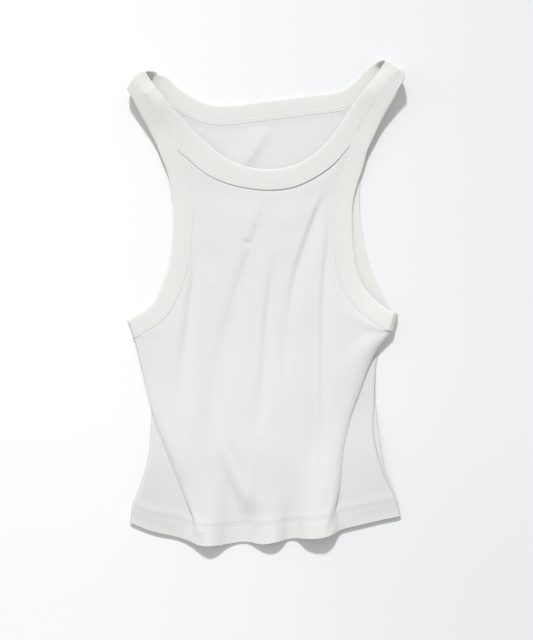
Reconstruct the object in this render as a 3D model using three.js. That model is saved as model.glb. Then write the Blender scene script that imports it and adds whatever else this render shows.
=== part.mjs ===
// Cropped tank top in ribbed cotton, laid on its back on a flat surface. Millimetres.
// +Z is up from the surface, +Y runs from the hem to the straps, and the origin is the
// middle of the garment's box on the surface. The front panel lies over the flat back
// panel, and rolls under along both sides below the armholes.
import * as THREE from 'three';

// Cloth
const WALL = 1.2; // one layer of the ribbed knit
const FOLDED = 2.2; // binding or hem, folded double
const SEAM_GAP = 0.3; // clear space between pieces that are sewn together
const HEM_DEPTH = 20;

// Bindings, seam to folded edge
const NECK_FRONT_WIDTH = 21.5;
const NECK_BACK_WIDTH = 19.7;
const ARMHOLE_WIDTH = 20.7;

// Levels on the panels, above the hem's edge
const FRONT_LENGTH = 229;
const BACK_LENGTH = 215;
const BACK_LEVELS = [0, HEM_DEPTH, HEM_DEPTH + 1.5, 50, 80, 110, 140, 170, 195];
const POINT_CLEARANCE = 1.6; // how far a panel's pointed corner stops short of its strap

// Steps along the pieces
const NECK_STEPS = 26; // across the front panel, and along the front of the neck
const BACK_NECK_STEPS = 14;
const ARMHOLE_STEPS = 18; // from armpit to strap
const BODY_STEPS = 17; // from hem to armpit
const SIDE_STEPS = 13; // round the roll at each side
const STRAP_STEPS = 6;
const LOOP_STEPS = 6; // round a shoulder or an armpit

const FLAT = FOLDED / 2; // middle of a binding that lies on the surface

// The shoulders: where each strap turns over, which way it points there, how high
// it stands, each binding's width there, and its centre line on both sides of the turn.
const SHOULDERS = {
  left: {
    tip: [-141.4, 246], toward: [-0.66, 0.75], top: 20, width: 15,
    back: [
      { x: -108, y: 219, z: FLAT },
      { x: -121, y: 229.5, z: FLAT },
    ],
    front: [
      { x: -120, y: 210, z: 14 },
      { x: -110.5, y: 194.5, z: 10.5 },
      { x: -101, y: 179, z: 8.4 },
      { x: -96.5, y: 169, z: 7.4 },
    ],
  },
  right: {
    tip: [140.8, 255.6], toward: [0.67, 0.74], top: 22.5, width: 16,
    back: [
      { x: 112.5, y: 228.3, z: FLAT },
      { x: 124, y: 239, z: FLAT },
    ],
    front: [
      { x: 127.5, y: 234, z: 20.5 },
      { x: 116.5, y: 218, z: 17 },
      { x: 105.5, y: 199, z: 12.5 },
      { x: 92.7, y: 174.4, z: 9 },
    ],
  },
};

// The armpits: the end of the armhole seam, which way it points there, and its height.
const ARMPITS = {
  left: { tip: [-144.4, -37.5], toward: [-0.964, -0.265], top: 7 },
  right: { tip: [138.9, -30.3], toward: [0.975, -0.22], top: 14 },
};

// Seam lines between the straps and the armpits, as the cloth lies.
const NECK_FRONT = [
  { x: -82, y: 156, z: 7 },
  { x: -65, y: 142.5, z: 7 },
  { x: -46, y: 133.5, z: 7 },
  { x: -20, y: 127, z: 7 },
  { x: 7, y: 125, z: 7 },
  { x: 33, y: 129, z: 7 },
  { x: 61, y: 143, z: 7.2 },
  { x: 79, y: 157.5, z: 7.9 },
];
const NECK_BACK = [
  { x: 99, y: 218.5, z: FLAT },
  { x: 87, y: 213, z: FLAT },
  { x: 43, y: 206.8, z: FLAT },
  { x: 0, y: 201.3, z: FLAT },
  { x: -37, y: 196.8, z: FLAT },
  { x: -60, y: 197, z: FLAT },
  { x: -82, y: 203.8, z: FLAT },
];
const ARMHOLE_FRONT = {
  left: [
    { x: -88.6, y: 151, z: 6.2 },
    { x: -84, y: 128, z: 5 },
    { x: -80.8, y: 104, z: 4.7 },
    { x: -81, y: 80, z: 4.7 },
    { x: -84.4, y: 46, z: 4.8 },
    { x: -92, y: 20, z: 5 },
    { x: -104.7, y: -8, z: 5.6 },
    { x: -118.5, y: -22.6, z: 6.3 },
    { x: -132.8, y: -31.2, z: 6.9 },
  ],
  right: [
    { x: 86, y: 152.5, z: 6.8 },
    { x: 79, y: 130, z: 5.4 },
    { x: 75, y: 109, z: 4.8 },
    { x: 74.6, y: 84, z: 4.8 },
    { x: 77, y: 50, z: 5.4 },
    { x: 84, y: 20, z: 7.2 },
    { x: 101, y: -6, z: 10.2 },
    { x: 117, y: -19.5, z: 12.6 },
  ],
};
const ARMHOLE_BACK = {
  left: [
    { x: -131, y: -29.5, z: FLAT },
    { x: -115, y: -18, z: FLAT },
    { x: -99, y: -2, z: FLAT },
    { x: -87, y: 24, z: FLAT },
    { x: -79.5, y: 64, z: FLAT },
    { x: -78.5, y: 95, z: FLAT },
    { x: -81, y: 127, z: FLAT },
    { x: -88, y: 165, z: FLAT },
    { x: -97, y: 196, z: FLAT },
  ],
  right: [
    { x: 121, y: -17.5, z: FLAT },
    { x: 109, y: 4, z: FLAT },
    { x: 97, y: 30, z: FLAT },
    { x: 88, y: 62, z: FLAT },
    { x: 83.5, y: 95, z: FLAT },
    { x: 83, y: 125, z: FLAT },
    { x: 87, y: 157, z: FLAT },
    { x: 96, y: 192, z: FLAT },
  ],
};

// The hem's edge on the front panel.
const HEM = [
  { x: -150, y: -240.5 },
  { x: -126, y: -250 },
  { x: -100, y: -256 },
  { x: -86, y: -260.5 },
  { x: -72, y: -265.8 },
  { x: -52, y: -265.7 },
  { x: -23, y: -262 },
  { x: -4, y: -264.5 },
  { x: 12, y: -262 },
  { x: 28, y: -258.5 },
  { x: 55, y: -258 },
  { x: 70, y: -255 },
  { x: 84, y: -248.5 },
  { x: 103, y: -243.7 },
  { x: 127, y: -238 },
  { x: 149, y: -233.6 },
];
const BACK_HEM = { middle: -252, rise: 17, tilt: 3.5 };

// The sides below the armpits. Each row is a level of the fold's own line: where the
// roll's outermost line lies, where the cloth turns back under it, and how high the
// front lies there.
const SIDES = {
  left: {
    inward: 1,
    fold: [
      { y: -266, x: -76, under: 1, height: 12 },
      { y: -240, x: -79, under: 3, height: 11 },
      { y: -205, x: -91.5, under: 7, height: 10 },
      { y: -167, x: -107, under: 8, height: 9 },
      { y: -120, x: -124, under: 9, height: 8.6 },
      { y: -88, x: -131.8, under: 9, height: 8.4 },
      { y: -60, x: -138.8, under: 8, height: 8 },
      { y: -37.5, x: -144.4, under: 5, height: 7 },
    ],
    edge: [
      { y: -240.5, x: -149.3 },
      { y: -219, x: -145.8 },
      { y: -207, x: -140.6 },
      { y: -188, x: -133.9 },
      { y: -168, x: -128.8 },
      { y: -142, x: -126.4 },
      { y: -112, x: -125.6 },
      { y: -85, x: -127.2 },
      { y: -60, x: -132.6 },
      { y: -37.5, x: -139.4 },
    ],
  },
  right: {
    inward: -1,
    fold: [
      { y: -252, x: 73, under: 1, height: 15 },
      { y: -230, x: 76.5, under: 3, height: 12 },
      { y: -198, x: 81.5, under: 7, height: 9 },
      { y: -162, x: 85, under: 8, height: 8.4 },
      { y: -127, x: 92.2, under: 9, height: 8.8 },
      { y: -96, x: 103, under: 9, height: 10.2 },
      { y: -65, x: 114.7, under: 9, height: 12.4 },
      { y: -49, x: 123.4, under: 9, height: 13.4 },
      { y: -30.3, x: 138.9, under: 8, height: 14 },
    ],
    edge: [
      { y: -233.6, x: 148.6 },
      { y: -214, x: 142 },
      { y: -188, x: 130 },
      { y: -160, x: 121.5 },
      { y: -136, x: 118.4 },
      { y: -107, x: 119.6 },
      { y: -88, x: 119.8 },
      { y: -67, x: 121.4 },
      { y: -48, x: 125 },
      { y: -30.3, x: 131.5 },
    ],
  },
};
const BACK_EDGE = {
  left: SIDES.left.edge,
  right: [
    { y: -233.6, x: 148.6 },
    { y: -212, x: 143.6 },
    { y: -186, x: 132.8 },
    { y: -160, x: 127.4 },
    { y: -128, x: 123 },
    { y: -107, x: 121.2 },
    { y: -88, x: 121 },
    { y: -67, x: 121.8 },
    { y: -48, x: 125.4 },
    { y: -30.3, x: 131.9 },
  ],
};

// The cloth's path round a side, from the side seam to the front, as three shapes that
// pass into each other: a plain roll at the armpit, a fold lying over the wing of cloth
// below it, and an open slope at the hem. roll, fold and slope are how far inward each
// lies from the roll's outermost line: roll as a share of the roll's radius, slope in mm,
// and fold in mm, measured from where the cloth turns back. Where fold or slope is null,
// sideRow works it out. The columns with rise are shares of the front's height.
const SIDE_PATH = [
  { roll: 1.35, rollRise: 0, fold: null, foldRise: 0, slope: null, slopeRise: 0 },
  { roll: 1.05, rollRise: 0.02, fold: null, foldRise: 0, slope: null, slopeRise: 0 },
  { roll: 0.75, rollRise: 0.07, fold: null, foldRise: 0, slope: null, slopeRise: 0 },
  { roll: 0.48, rollRise: 0.13, fold: -1.2, foldRise: 0, slope: -9, slopeRise: 0 },
  { roll: 0.25, rollRise: 0.2, fold: 1.6, foldRise: 0.13, slope: -5.5, slopeRise: 0.04 },
  { roll: 0.05, rollRise: 0.3, fold: 0.9, foldRise: 0.4, slope: -3, slopeRise: 0.2 },
  { roll: -0.1, rollRise: 0.42, fold: null, foldRise: 0.48, slope: -0.8, slopeRise: 0.42 },
  { roll: -0.12, rollRise: 0.58, fold: null, foldRise: 0.58, slope: 1.2, slopeRise: 0.66 },
  { roll: 0, rollRise: 0.78, fold: null, foldRise: 0.86, slope: 3.4, slopeRise: 0.88 },
  { roll: 0.4, rollRise: 0.97, fold: null, foldRise: 1, slope: 6, slopeRise: 0.98 },
  { roll: 1, rollRise: 1, fold: null, foldRise: 1, slope: 9, slopeRise: 1 },
];

// Ridges and hollows of the front, from their lower to their upper end: height there
// (a hollow's is negative) and the half width of the wave.
const WAVES = [
  { from: [-60, -266], to: [-84, -110], low: 8.5, high: 1.6, reach: 13 },
  { from: [7, -263], to: [2, -90], low: 8, high: 1.6, reach: 12 },
  { from: [57, -258], to: [70, -80], low: 8.5, high: 1.6, reach: 13 },
  { from: [-23, -263], to: [-44, -40], low: -2, high: -1.6, reach: 9 },
  { from: [29, -259], to: [66, 60], low: -3.4, high: -1.8, reach: 9 },
  { from: [30, 30], to: [79, 136], low: -1.4, high: -2.4, reach: 6 },
  { from: [-22, 20], to: [-8, 90], low: -0.8, high: -1.4, reach: 8 },
  { from: [-88, -130], to: [-82, 24], low: -0.8, high: -1.4, reach: 10 },
];
// Height of the middle of the front above a straight line between its two sides.
const CROWN = [
  { y: -266, rise: -8 },
  { y: -225, rise: -5 },
  { y: -180, rise: -1 },
  { y: -120, rise: 0.5 },
  { y: -33, rise: -0.5 },
  { y: 120, rise: 0 },
];

const mix = (a, b, t) => a + (b - a) * t;
const clamp = THREE.MathUtils.clamp;
const smoothstep = THREE.MathUtils.smoothstep;

// Value of a column at a place along a table, on a smooth curve through its rows.
function lookUp(table, key, at, column) {
  const last = table.length - 1;
  const rising = table[last][key] > table[0][key];
  const t = rising ? at : -at;
  const place = (i) => (rising ? table[i][key] : -table[i][key]);
  if (t <= place(0)) return table[0][column];
  if (t >= place(last)) return table[last][column];
  let i = 0;
  while (place(i + 1) < t) i += 1;
  const slope = (k) => {
    const a = Math.max(k - 1, 0);
    const b = Math.min(k + 1, last);
    return (table[b][column] - table[a][column]) / (place(b) - place(a));
  };
  const span = place(i + 1) - place(i);
  const s = (t - place(i)) / span;
  const s2 = s * s;
  const s3 = s2 * s;
  return (2 * s3 - 3 * s2 + 1) * table[i][column] + (s3 - 2 * s2 + s) * span * slope(i)
    + (3 * s2 - 2 * s3) * table[i + 1][column] + (s3 - s2) * span * slope(i + 1);
}

// Evenly spaced points on a smooth curve through some points.
function spaced(points, steps) {
  const curve = new THREE.CatmullRomCurve3(points, false, 'centripetal');
  curve.arcLengthDivisions = 600;
  return curve.getSpacedPoints(steps);
}

const toVector = (row) => new THREE.Vector3(row.x, row.y, row.z);

// A horizontal direction square to the plan of a line, on the side that faces a place.
function squareTo(before, after, from, facing) {
  const across = new THREE.Vector3(before.y - after.y, after.x - before.x, 0).normalize();
  const aim = new THREE.Vector3(facing[0] - from.x, facing[1] - from.y, 0);
  return across.dot(aim) < 0 ? across.negate() : across;
}

// Stations along a seam line: each has its point, the direction across the binding to
// its folded edge, and the binding's width there.
function stretch(points, steps, facing, width) {
  const line = spaced(points, steps);
  return line.map((point, i) => {
    const before = line[Math.max(i - 1, 0)];
    const after = line[Math.min(i + 1, steps)];
    return { point, across: squareTo(before, after, point, facing), width };
  });
}

// Stations where a binding turns over, from the under layer to the upper one.
function turnOver(turn, facing, width) {
  const radius = (turn.top - FLAT) / 2;
  const middle = (turn.top + FLAT) / 2;
  const toward = new THREE.Vector3(...turn.toward, 0).normalize();
  const tip = new THREE.Vector3(...turn.tip, 0);
  const across = squareTo(new THREE.Vector3(), toward, tip, facing);
  const stations = [];
  for (let i = 0; i <= LOOP_STEPS; i += 1) {
    const angle = Math.PI * (i / LOOP_STEPS - 0.5);
    const point = tip.clone().addScaledVector(toward, -radius * (1 - Math.cos(angle)));
    point.z = middle + radius * Math.sin(angle);
    stations.push({ point, across: across.clone(), width });
  }
  return stations;
}

const flip = (stations) => stations.map((s) => ({ ...s, across: s.across.clone().negate() }));
const reversed = (stations) => [...stations].reverse();

// A strap's centre line, from the back panel over the shoulder to the front panel. The
// directions across it point to the neck.
function strapStations(shoulder) {
  const facing = [0, 175];
  const over = turnOver(shoulder, facing, shoulder.width);
  const low = over[0].point;
  const high = over[LOOP_STEPS].point;
  const back = stretch([...shoulder.back.map(toVector), low], 3, facing, NECK_BACK_WIDTH);
  const front = stretch([high, ...shoulder.front.map(toVector)], STRAP_STEPS, facing,
    NECK_BACK_WIDTH);
  const narrowing = (stations, from, to) => stations.forEach((station, i) => {
    station.width = mix(from, to, smoothstep(i / (stations.length - 1), 0, 1));
  });
  narrowing(back, NECK_BACK_WIDTH, shoulder.width);
  narrowing(front, shoulder.width, ARMHOLE_WIDTH);
  return [...back.slice(0, -1), ...over, ...front.slice(1)];
}

// Directions and widths settle gradually from one stretch to the next round a ring.
function settle(ring, rounds) {
  let stations = ring;
  for (let round = 0; round < rounds; round += 1) {
    stations = stations.map((station, i) => {
      const before = stations[(i + stations.length - 1) % stations.length];
      const after = stations[(i + 1) % stations.length];
      const across = station.across.clone().multiplyScalar(2).add(before.across)
        .add(after.across).normalize();
      const width = (2 * station.width + before.width + after.width) / 4;
      return { ...station, across, width };
    });
  }
  return stations;
}

// Joins the parts of a ring, each of which starts where the last one ended.
const joinRing = (...parts) => parts.flatMap((part) => part.slice(0, -1));

// The edge of a panel beside a binding's station.
function panelEdge(station, height = 0) {
  const point = station.point.clone().addScaledVector(station.across, -SEAM_GAP / 2);
  point.z += height;
  return point;
}

function toGeometry(points, triangles) {
  const geometry = new THREE.BufferGeometry().setFromPoints(points);
  geometry.setIndex(triangles);
  geometry.computeVertexNormals();
  return geometry;
}

// A folded binding: a flat strip with a rounded edge, swept round a ring of stations.
// outside is 1 or -1, whichever side of the ring's turning the cloth's right side is on.
function bindingGeometry(ring, outside) {
  const half = FOLDED / 2;
  const count = ring.length;
  const points = [];
  ring.forEach((station, i) => {
    const along = ring[(i + 1) % count].point.clone().sub(ring[(i + count - 1) % count].point);
    const up = along.cross(station.across).normalize().multiplyScalar(outside);
    const section = [
      [SEAM_GAP / 2, -half], [SEAM_GAP / 2, half],
      [station.width - half * 0.7, half], [station.width, half * 0.45],
      [station.width, -half * 0.45], [station.width - half * 0.7, -half],
    ];
    section.forEach(([across, rise]) => {
      points.push(station.point.clone().addScaledVector(station.across, across)
        .addScaledVector(up, rise));
    });
  });
  const size = 6;
  const triangles = [];
  for (let i = 0; i < count; i += 1) {
    const next = (i + 1) % count;
    for (let k = 0; k < size; k += 1) {
      const after = (k + 1) % size;
      const a = i * size + k;
      const b = next * size + k;
      const c = next * size + after;
      const d = i * size + after;
      if (outside > 0) triangles.push(a, b, c, a, c, d);
      else triangles.push(a, c, b, a, d, c);
    }
  }
  return toGeometry(points, triangles);
}

// A wall of cloth over a grid of points on its right side. Rows go from the hem up and
// columns to the right; an empty place (null) is outside the piece. facing is 1 where
// the right side faces up and -1 where it faces the surface.
function clothGeometry(grid, walls, facing) {
  const rows = grid.length;
  const columns = grid[0].length;
  const at = (i, j) => (i < 0 || j < 0 || i >= rows || j >= columns ? null : grid[i][j]);
  const normalAt = (i, j) => {
    const right = (at(i, j + 1) ?? at(i, j)).clone().sub(at(i, j - 1) ?? at(i, j));
    const up = (at(i + 1, j) ?? at(i, j)).clone().sub(at(i - 1, j) ?? at(i, j));
    return right.cross(up).normalize().multiplyScalar(facing);
  };
  const points = [];
  const index = new Map();
  for (let i = 0; i < rows; i += 1) {
    for (let j = 0; j < columns; j += 1) {
      const point = at(i, j);
      if (point) {
        index.set(i * columns + j, points.length);
        points.push(point.clone(), point.clone().addScaledVector(normalAt(i, j), -walls[i]));
      }
    }
  }
  const faces = [];
  for (let i = 0; i + 1 < rows; i += 1) {
    for (let j = 0; j + 1 < columns; j += 1) {
      const corners = [[i, j], [i, j + 1], [i + 1, j + 1], [i + 1, j]];
      if (corners.every(([r, c]) => at(r, c))) {
        const [a, b, c, d] = corners.map(([r, k]) => index.get(r * columns + k));
        if (facing > 0) faces.push([a, b, c], [a, c, d]);
        else faces.push([a, c, b], [a, d, c]);
      }
    }
  }
  const edges = new Set();
  const sides = ([a, b, c]) => [[a, b], [b, c], [c, a]];
  faces.forEach((face) => sides(face).forEach(([p, q]) => edges.add(`${p} ${q}`)));
  const triangles = [];
  faces.forEach((face) => {
    const [a, b, c] = face;
    triangles.push(a, b, c, a + 1, c + 1, b + 1);
    sides(face).forEach(([p, q]) => {
      if (!edges.has(`${q} ${p}`)) triangles.push(q, p, p + 1, q, p + 1, q + 1);
    });
  });
  return toGeometry(points, triangles);
}

// The height that the waves add at a place of the front.
function waveAt(x, y) {
  let height = 0;
  WAVES.forEach(({ from, to, low, high, reach }) => {
    const along = clamp((y - from[1]) / (to[1] - from[1]), -0.4, 1.4);
    const offset = (x - mix(from[0], to[0], along)) / reach;
    const inside = smoothstep(along, -0.25, 0.05) * (1 - smoothstep(along, 0.85, 1.35));
    height += mix(low, high, clamp(along, 0, 1)) * inside * Math.exp(-offset * offset);
  });
  return height;
}

// Uniform cubic spline that starts and ends on its first and last control points.
function splinePoints(control, steps) {
  const first = control[0];
  const last = control[control.length - 1];
  const padded = [first, first, ...control, last, last];
  const spans = padded.length - 3;
  const result = [];
  for (let i = 0; i <= steps; i += 1) {
    const t = (i / steps) * spans;
    const k = Math.min(Math.floor(t), spans - 1);
    const s = t - k;
    const weights = [
      (1 - s) ** 3,
      3 * s ** 3 - 6 * s ** 2 + 4,
      -3 * s ** 3 + 3 * s ** 2 + 3 * s + 1,
      s ** 3,
    ];
    const point = [0, 0];
    weights.forEach((weight, m) => {
      point[0] += (weight / 6) * padded[k + m][0];
      point[1] += (weight / 6) * padded[k + m][1];
    });
    result.push(point);
  }
  return result;
}

// Rows of the front panel above the hem's edge, closer at the hem's stitching.
function bodyRows(length) {
  const rows = [0, HEM_DEPTH / 2, HEM_DEPTH, HEM_DEPTH + 1.5, HEM_DEPTH + 10];
  const rest = BODY_STEPS + 1 - rows.length;
  for (let i = 1; i <= rest; i += 1) rows.push(mix(HEM_DEPTH + 10, length, i / rest));
  return rows;
}

const neckFacing = [0, 200];
const armholeFacing = { left: [-190, 100], right: [190, 100] };

// All seam lines, as rings of stations.
function seamLines() {
  const straps = {
    left: strapStations(SHOULDERS.left),
    right: strapStations(SHOULDERS.right),
  };
  const horn = (side, end) => {
    const line = straps[side];
    return line[end === 'back' ? 0 : line.length - 1].point;
  };
  const neckFront = stretch([horn('left', 'front'), ...NECK_FRONT.map(toVector),
    horn('right', 'front')], NECK_STEPS, neckFacing, NECK_FRONT_WIDTH);
  const neckBack = stretch([horn('right', 'back'), ...NECK_BACK.map(toVector),
    horn('left', 'back')], BACK_NECK_STEPS, [0, 400], NECK_BACK_WIDTH);
  const neck = settle(joinRing(straps.left, neckFront, reversed(straps.right), neckBack), 3);

  const armholes = {};
  ['left', 'right'].forEach((side) => {
    const facing = armholeFacing[side];
    const armpit = turnOver(ARMPITS[side], [ARMPITS[side].tip[0], 100], ARMHOLE_WIDTH);
    const front = stretch([horn(side, 'front'), ...ARMHOLE_FRONT[side].map(toVector),
      armpit[LOOP_STEPS].point], ARMHOLE_STEPS, facing, ARMHOLE_WIDTH);
    const back = stretch([armpit[0].point, ...ARMHOLE_BACK[side].map(toVector),
      horn(side, 'back')], ARMHOLE_STEPS, facing, ARMHOLE_WIDTH);
    armholes[side] = settle(joinRing(flip(straps[side]), front, reversed(armpit), back), 3);
  });
  const strapLength = straps.left.length - 1;
  const part = (ring, start, steps) => {
    const result = [];
    for (let i = 0; i <= steps; i += 1) result.push(ring[(start + i) % ring.length]);
    return result;
  };
  const backStart = strapLength + ARMHOLE_STEPS + LOOP_STEPS;
  return {
    neck,
    armholes,
    neckFront: part(neck, strapLength, NECK_STEPS),
    neckBack: reversed(part(neck, 2 * strapLength + NECK_STEPS, BACK_NECK_STEPS)),
    armholeFront: (side) => reversed(part(armholes[side], strapLength, ARMHOLE_STEPS)),
    armholeBack: (side) => part(armholes[side], backStart, ARMHOLE_STEPS),
  };
}

const seams = seamLines();

// The point of a panel between two seams that meet at a strap.
function hornTip(edgeA, edgeB, corner) {
  const inward = edgeA.clone().sub(corner).normalize()
    .add(edgeB.clone().sub(corner).normalize()).normalize();
  return corner.clone().addScaledVector(inward, POINT_CLEARANCE);
}

// The rows of a panel between the armholes, from the armpits to the neck. lift is the
// panel's right side above the middle of the binding beside it.
function yokeRows(leftSeam, rightSeam, neckSeam, lift, shape) {
  const steps = neckSeam.length - 1;
  const rows = leftSeam.length - 1;
  const top = neckSeam.map((station) => panelEdge(station, lift));
  top[0] = hornTip(top[1], panelEdge(leftSeam[rows - 1], lift), top[0]);
  top[steps] = hornTip(top[steps - 1], panelEdge(rightSeam[rows - 1], lift), top[steps]);
  const grid = [];
  for (let i = 0; i < rows; i += 1) {
    const left = panelEdge(leftSeam[i], lift);
    const right = panelEdge(rightSeam[i], lift);
    const share = (i / rows) ** 1.5;
    const row = [];
    for (let j = 0; j <= steps; j += 1) {
      const u = j / steps;
      const point = left.clone().lerp(right, u);
      const sag = top[j].clone().sub(top[0].clone().lerp(top[steps], u));
      point.addScaledVector(sag, share);
      if (j > 0 && j < steps) point.z += shape(point, u, i / rows);
      row.push(point);
    }
    grid.push(row);
  }
  grid.push(top);
  return grid;
}

// Waves fade out towards the seams.
const awayFromSides = (u) => smoothstep(u, 0, 0.12) * smoothstep(1 - u, 0, 0.12);

// Level of a row of the front panel at a place across it, and where a line down the
// side crosses that row.
const rowLevel = (x, share, top) => mix(lookUp(HEM, 'x', x, 'y'), top, share);
function placeOnRow(line, share, top) {
  let x = line[0].x;
  for (let round = 0; round < 6; round += 1) x = lookUp(line, 'y', rowLevel(x, share, top), 'x');
  return x;
}

// The front panel's path round one side, from the side seam to the flat of the front.
// seat is the height at which the cloth lies on the back panel there.
function sideRow(side, share, seat, outward) {
  const { inward, fold, edge } = SIDES[side];
  const armpit = ARMPITS[side];
  const lean = Math.abs(armpit.toward[0]);
  const tipY = armpit.tip[1] - 2 * SEAM_GAP;
  const foldX = placeOnRow(fold, share, tipY);
  const foldY = rowLevel(foldX, share, tipY);
  const depth = lookUp(fold, 'y', foldY, 'under');
  const edgeX = placeOnRow(edge, share, tipY);
  const height = lookUp(fold, 'y', foldY, 'height') + outward;
  const base = seat + outward;
  const radius = (armpit.top - FLAT) / 2;
  const edgeAt = ((edgeX - foldX) * inward) / lean;
  const rolled = smoothstep(share, 0.8, 1);
  const open = 1 - smoothstep(share, 0.06, 0.2);
  const onWing = 3; // rows of the path before the cloth turns back
  const overWing = [depth * 0.5, -1, -0.7, 3, 8];
  const foldPlace = (row, i) => {
    if (row.fold !== null) return depth + row.fold;
    if (i < onWing) return mix(edgeAt, depth + SIDE_PATH[onWing].fold, i / onWing);
    return overWing[i - (SIDE_PATH.length - overWing.length)];
  };
  const slopePlace = (row, i) => row.slope ?? mix(edgeAt, SIDE_PATH[onWing].slope, i / onWing);
  const control = SIDE_PATH.map((row, i) => {
    const place = mix(mix(foldPlace(row, i), slopePlace(row, i), open), row.roll * radius, rolled);
    const rise = mix(mix(row.foldRise, row.slopeRise, open), row.rollRise, rolled);
    return [place, mix(base, height, rise)];
  });
  return splinePoints(control, SIDE_STEPS).map(([place, z]) => {
    const x = foldX + inward * place * lean;
    const tilt = -armpit.toward[1] * clamp(place, -10, 14);
    return new THREE.Vector3(x, rowLevel(x, share, tipY + tilt), z);
  });
}

// Front panel: the rolled sides and the raised middle below the armpits, then the part
// between the armholes.
function frontPanel() {
  const outward = WALL / 2;
  const levels = bodyRows(FRONT_LENGTH);
  const walls = [];
  const grid = [];
  const empty = Array(SIDE_STEPS).fill(null);
  levels.slice(0, -1).forEach((level) => {
    const share = level / FRONT_LENGTH;
    const wall = level <= HEM_DEPTH ? FOLDED : WALL;
    const under = mix(FOLDED, WALL, smoothstep(level, HEM_DEPTH + 10, HEM_DEPTH + 20));
    const seat = under + SEAM_GAP + wall - outward;
    const left = sideRow('left', share, seat, outward);
    const right = sideRow('right', share, seat, outward).reverse();
    const start = left[SIDE_STEPS];
    const end = right[0];
    const middle = [];
    for (let j = 1; j < NECK_STEPS; j += 1) {
      const u = j / NECK_STEPS;
      const x = mix(start.x, end.x, u);
      const top = mix(ARMPITS.left.tip[1], ARMPITS.right.tip[1], u);
      const y = rowLevel(x, share, top);
      const raised = mix(start.z, end.z, u) + lookUp(CROWN, 'y', y, 'rise') * Math.sin(Math.PI * u)
        + waveAt(x, y) * awayFromSides(u);
      middle.push(new THREE.Vector3(x, y, Math.max(raised, seat + outward)));
    }
    grid.push([...left, ...middle, ...right]);
    walls.push(wall);
  });
  const armpitRow = {
    left: sideRow('left', 1, WALL + SEAM_GAP + outward, outward).slice(0, -1),
    right: sideRow('right', 1, WALL + SEAM_GAP + outward, outward).slice(0, -1).reverse(),
  };
  const shape = (point, u, share) => awayFromSides(u) * (1 - smoothstep(share, 0.75, 1))
    * (lookUp(CROWN, 'y', point.y, 'rise') * Math.sin(Math.PI * u) + waveAt(point.x, point.y));
  const yoke = yokeRows(seams.armholeFront('left'), seams.armholeFront('right'),
    seams.neckFront, outward, shape);
  yoke.forEach((row, i) => {
    grid.push(i === 0 ? [...armpitRow.left, ...row, ...armpitRow.right]
      : [...empty, ...row, ...empty]);
    walls.push(WALL);
  });
  return clothGeometry(grid, walls, 1);
}

// Back panel: flat on the surface, its hem folded up inside.
function backPanel() {
  const walls = [];
  const grid = [];
  BACK_LEVELS.forEach((level) => {
    const share = level / BACK_LENGTH;
    const row = [];
    for (let j = 0; j <= BACK_NECK_STEPS; j += 1) {
      const u = j / BACK_NECK_STEPS;
      const across = 2 * u - 1;
      const hem = BACK_HEM.middle + BACK_HEM.rise * across * across + BACK_HEM.tilt * across;
      const armpit = mix(ARMPITS.left.tip[1], ARMPITS.right.tip[1], u);
      const y = mix(hem, armpit, share);
      const x = mix(lookUp(BACK_EDGE.left, 'y', y, 'x'), lookUp(BACK_EDGE.right, 'y', y, 'x'), u);
      row.push(new THREE.Vector3(x, y, 0));
    }
    grid.push(row);
    walls.push(level <= HEM_DEPTH ? FOLDED : WALL);
  });
  const yoke = yokeRows(seams.armholeBack('left'), seams.armholeBack('right'),
    seams.neckBack, -FLAT, () => 0);
  yoke.forEach((row) => {
    grid.push(row);
    walls.push(WALL);
  });
  return clothGeometry(grid, walls, -1);
}

const cloth = new THREE.MeshStandardMaterial({ color: 0xe9e9e6, roughness: 0.95, metalness: 0 });
const binding = new THREE.MeshStandardMaterial({ color: 0xe7e8e3, roughness: 0.95, metalness: 0 });

function piece(name, geometry, material) {
  const mesh = new THREE.Mesh(geometry, material);
  mesh.name = name;
  return mesh;
}

const tankTop = new THREE.Group();
tankTop.add(
  piece('front_panel', frontPanel(), cloth),
  piece('back_panel', backPanel(), cloth),
  piece('neck_binding', bindingGeometry(seams.neck, 1), binding),
  piece('armhole_binding_left', bindingGeometry(seams.armholes.left, -1), binding),
  piece('armhole_binding_right', bindingGeometry(seams.armholes.right, 1), binding),
);

export default tankTop;
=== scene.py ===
# The looks of a cropped rib tank top that lies on its back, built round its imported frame.
# Pieces are worked out in millimetres and written in metres.

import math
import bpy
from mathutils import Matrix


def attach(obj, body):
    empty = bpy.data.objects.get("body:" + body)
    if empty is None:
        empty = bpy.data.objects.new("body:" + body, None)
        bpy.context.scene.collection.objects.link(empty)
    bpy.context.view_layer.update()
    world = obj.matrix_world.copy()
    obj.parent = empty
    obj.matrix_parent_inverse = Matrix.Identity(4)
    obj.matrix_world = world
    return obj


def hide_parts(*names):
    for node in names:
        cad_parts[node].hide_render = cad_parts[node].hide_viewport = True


bl_info = {
    "name": "Rib tank top, laid flat",
    "version": (1, 0, 0),
    "blender": (4, 5, 0),
    "location": "View3D > Sidebar > Tank top",
    "description": "Makes the cloth, bindings, stitching, floor and light of a laid tank top",
    "category": "Object",
}

import bpy
import numpy as np

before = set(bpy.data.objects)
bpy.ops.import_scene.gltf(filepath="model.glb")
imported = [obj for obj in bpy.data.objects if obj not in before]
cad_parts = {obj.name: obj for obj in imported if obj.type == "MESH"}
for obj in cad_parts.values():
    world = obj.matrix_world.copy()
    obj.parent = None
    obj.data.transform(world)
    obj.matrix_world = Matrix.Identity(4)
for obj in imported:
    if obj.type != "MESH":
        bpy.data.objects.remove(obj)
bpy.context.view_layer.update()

MM = 0.001

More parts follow.
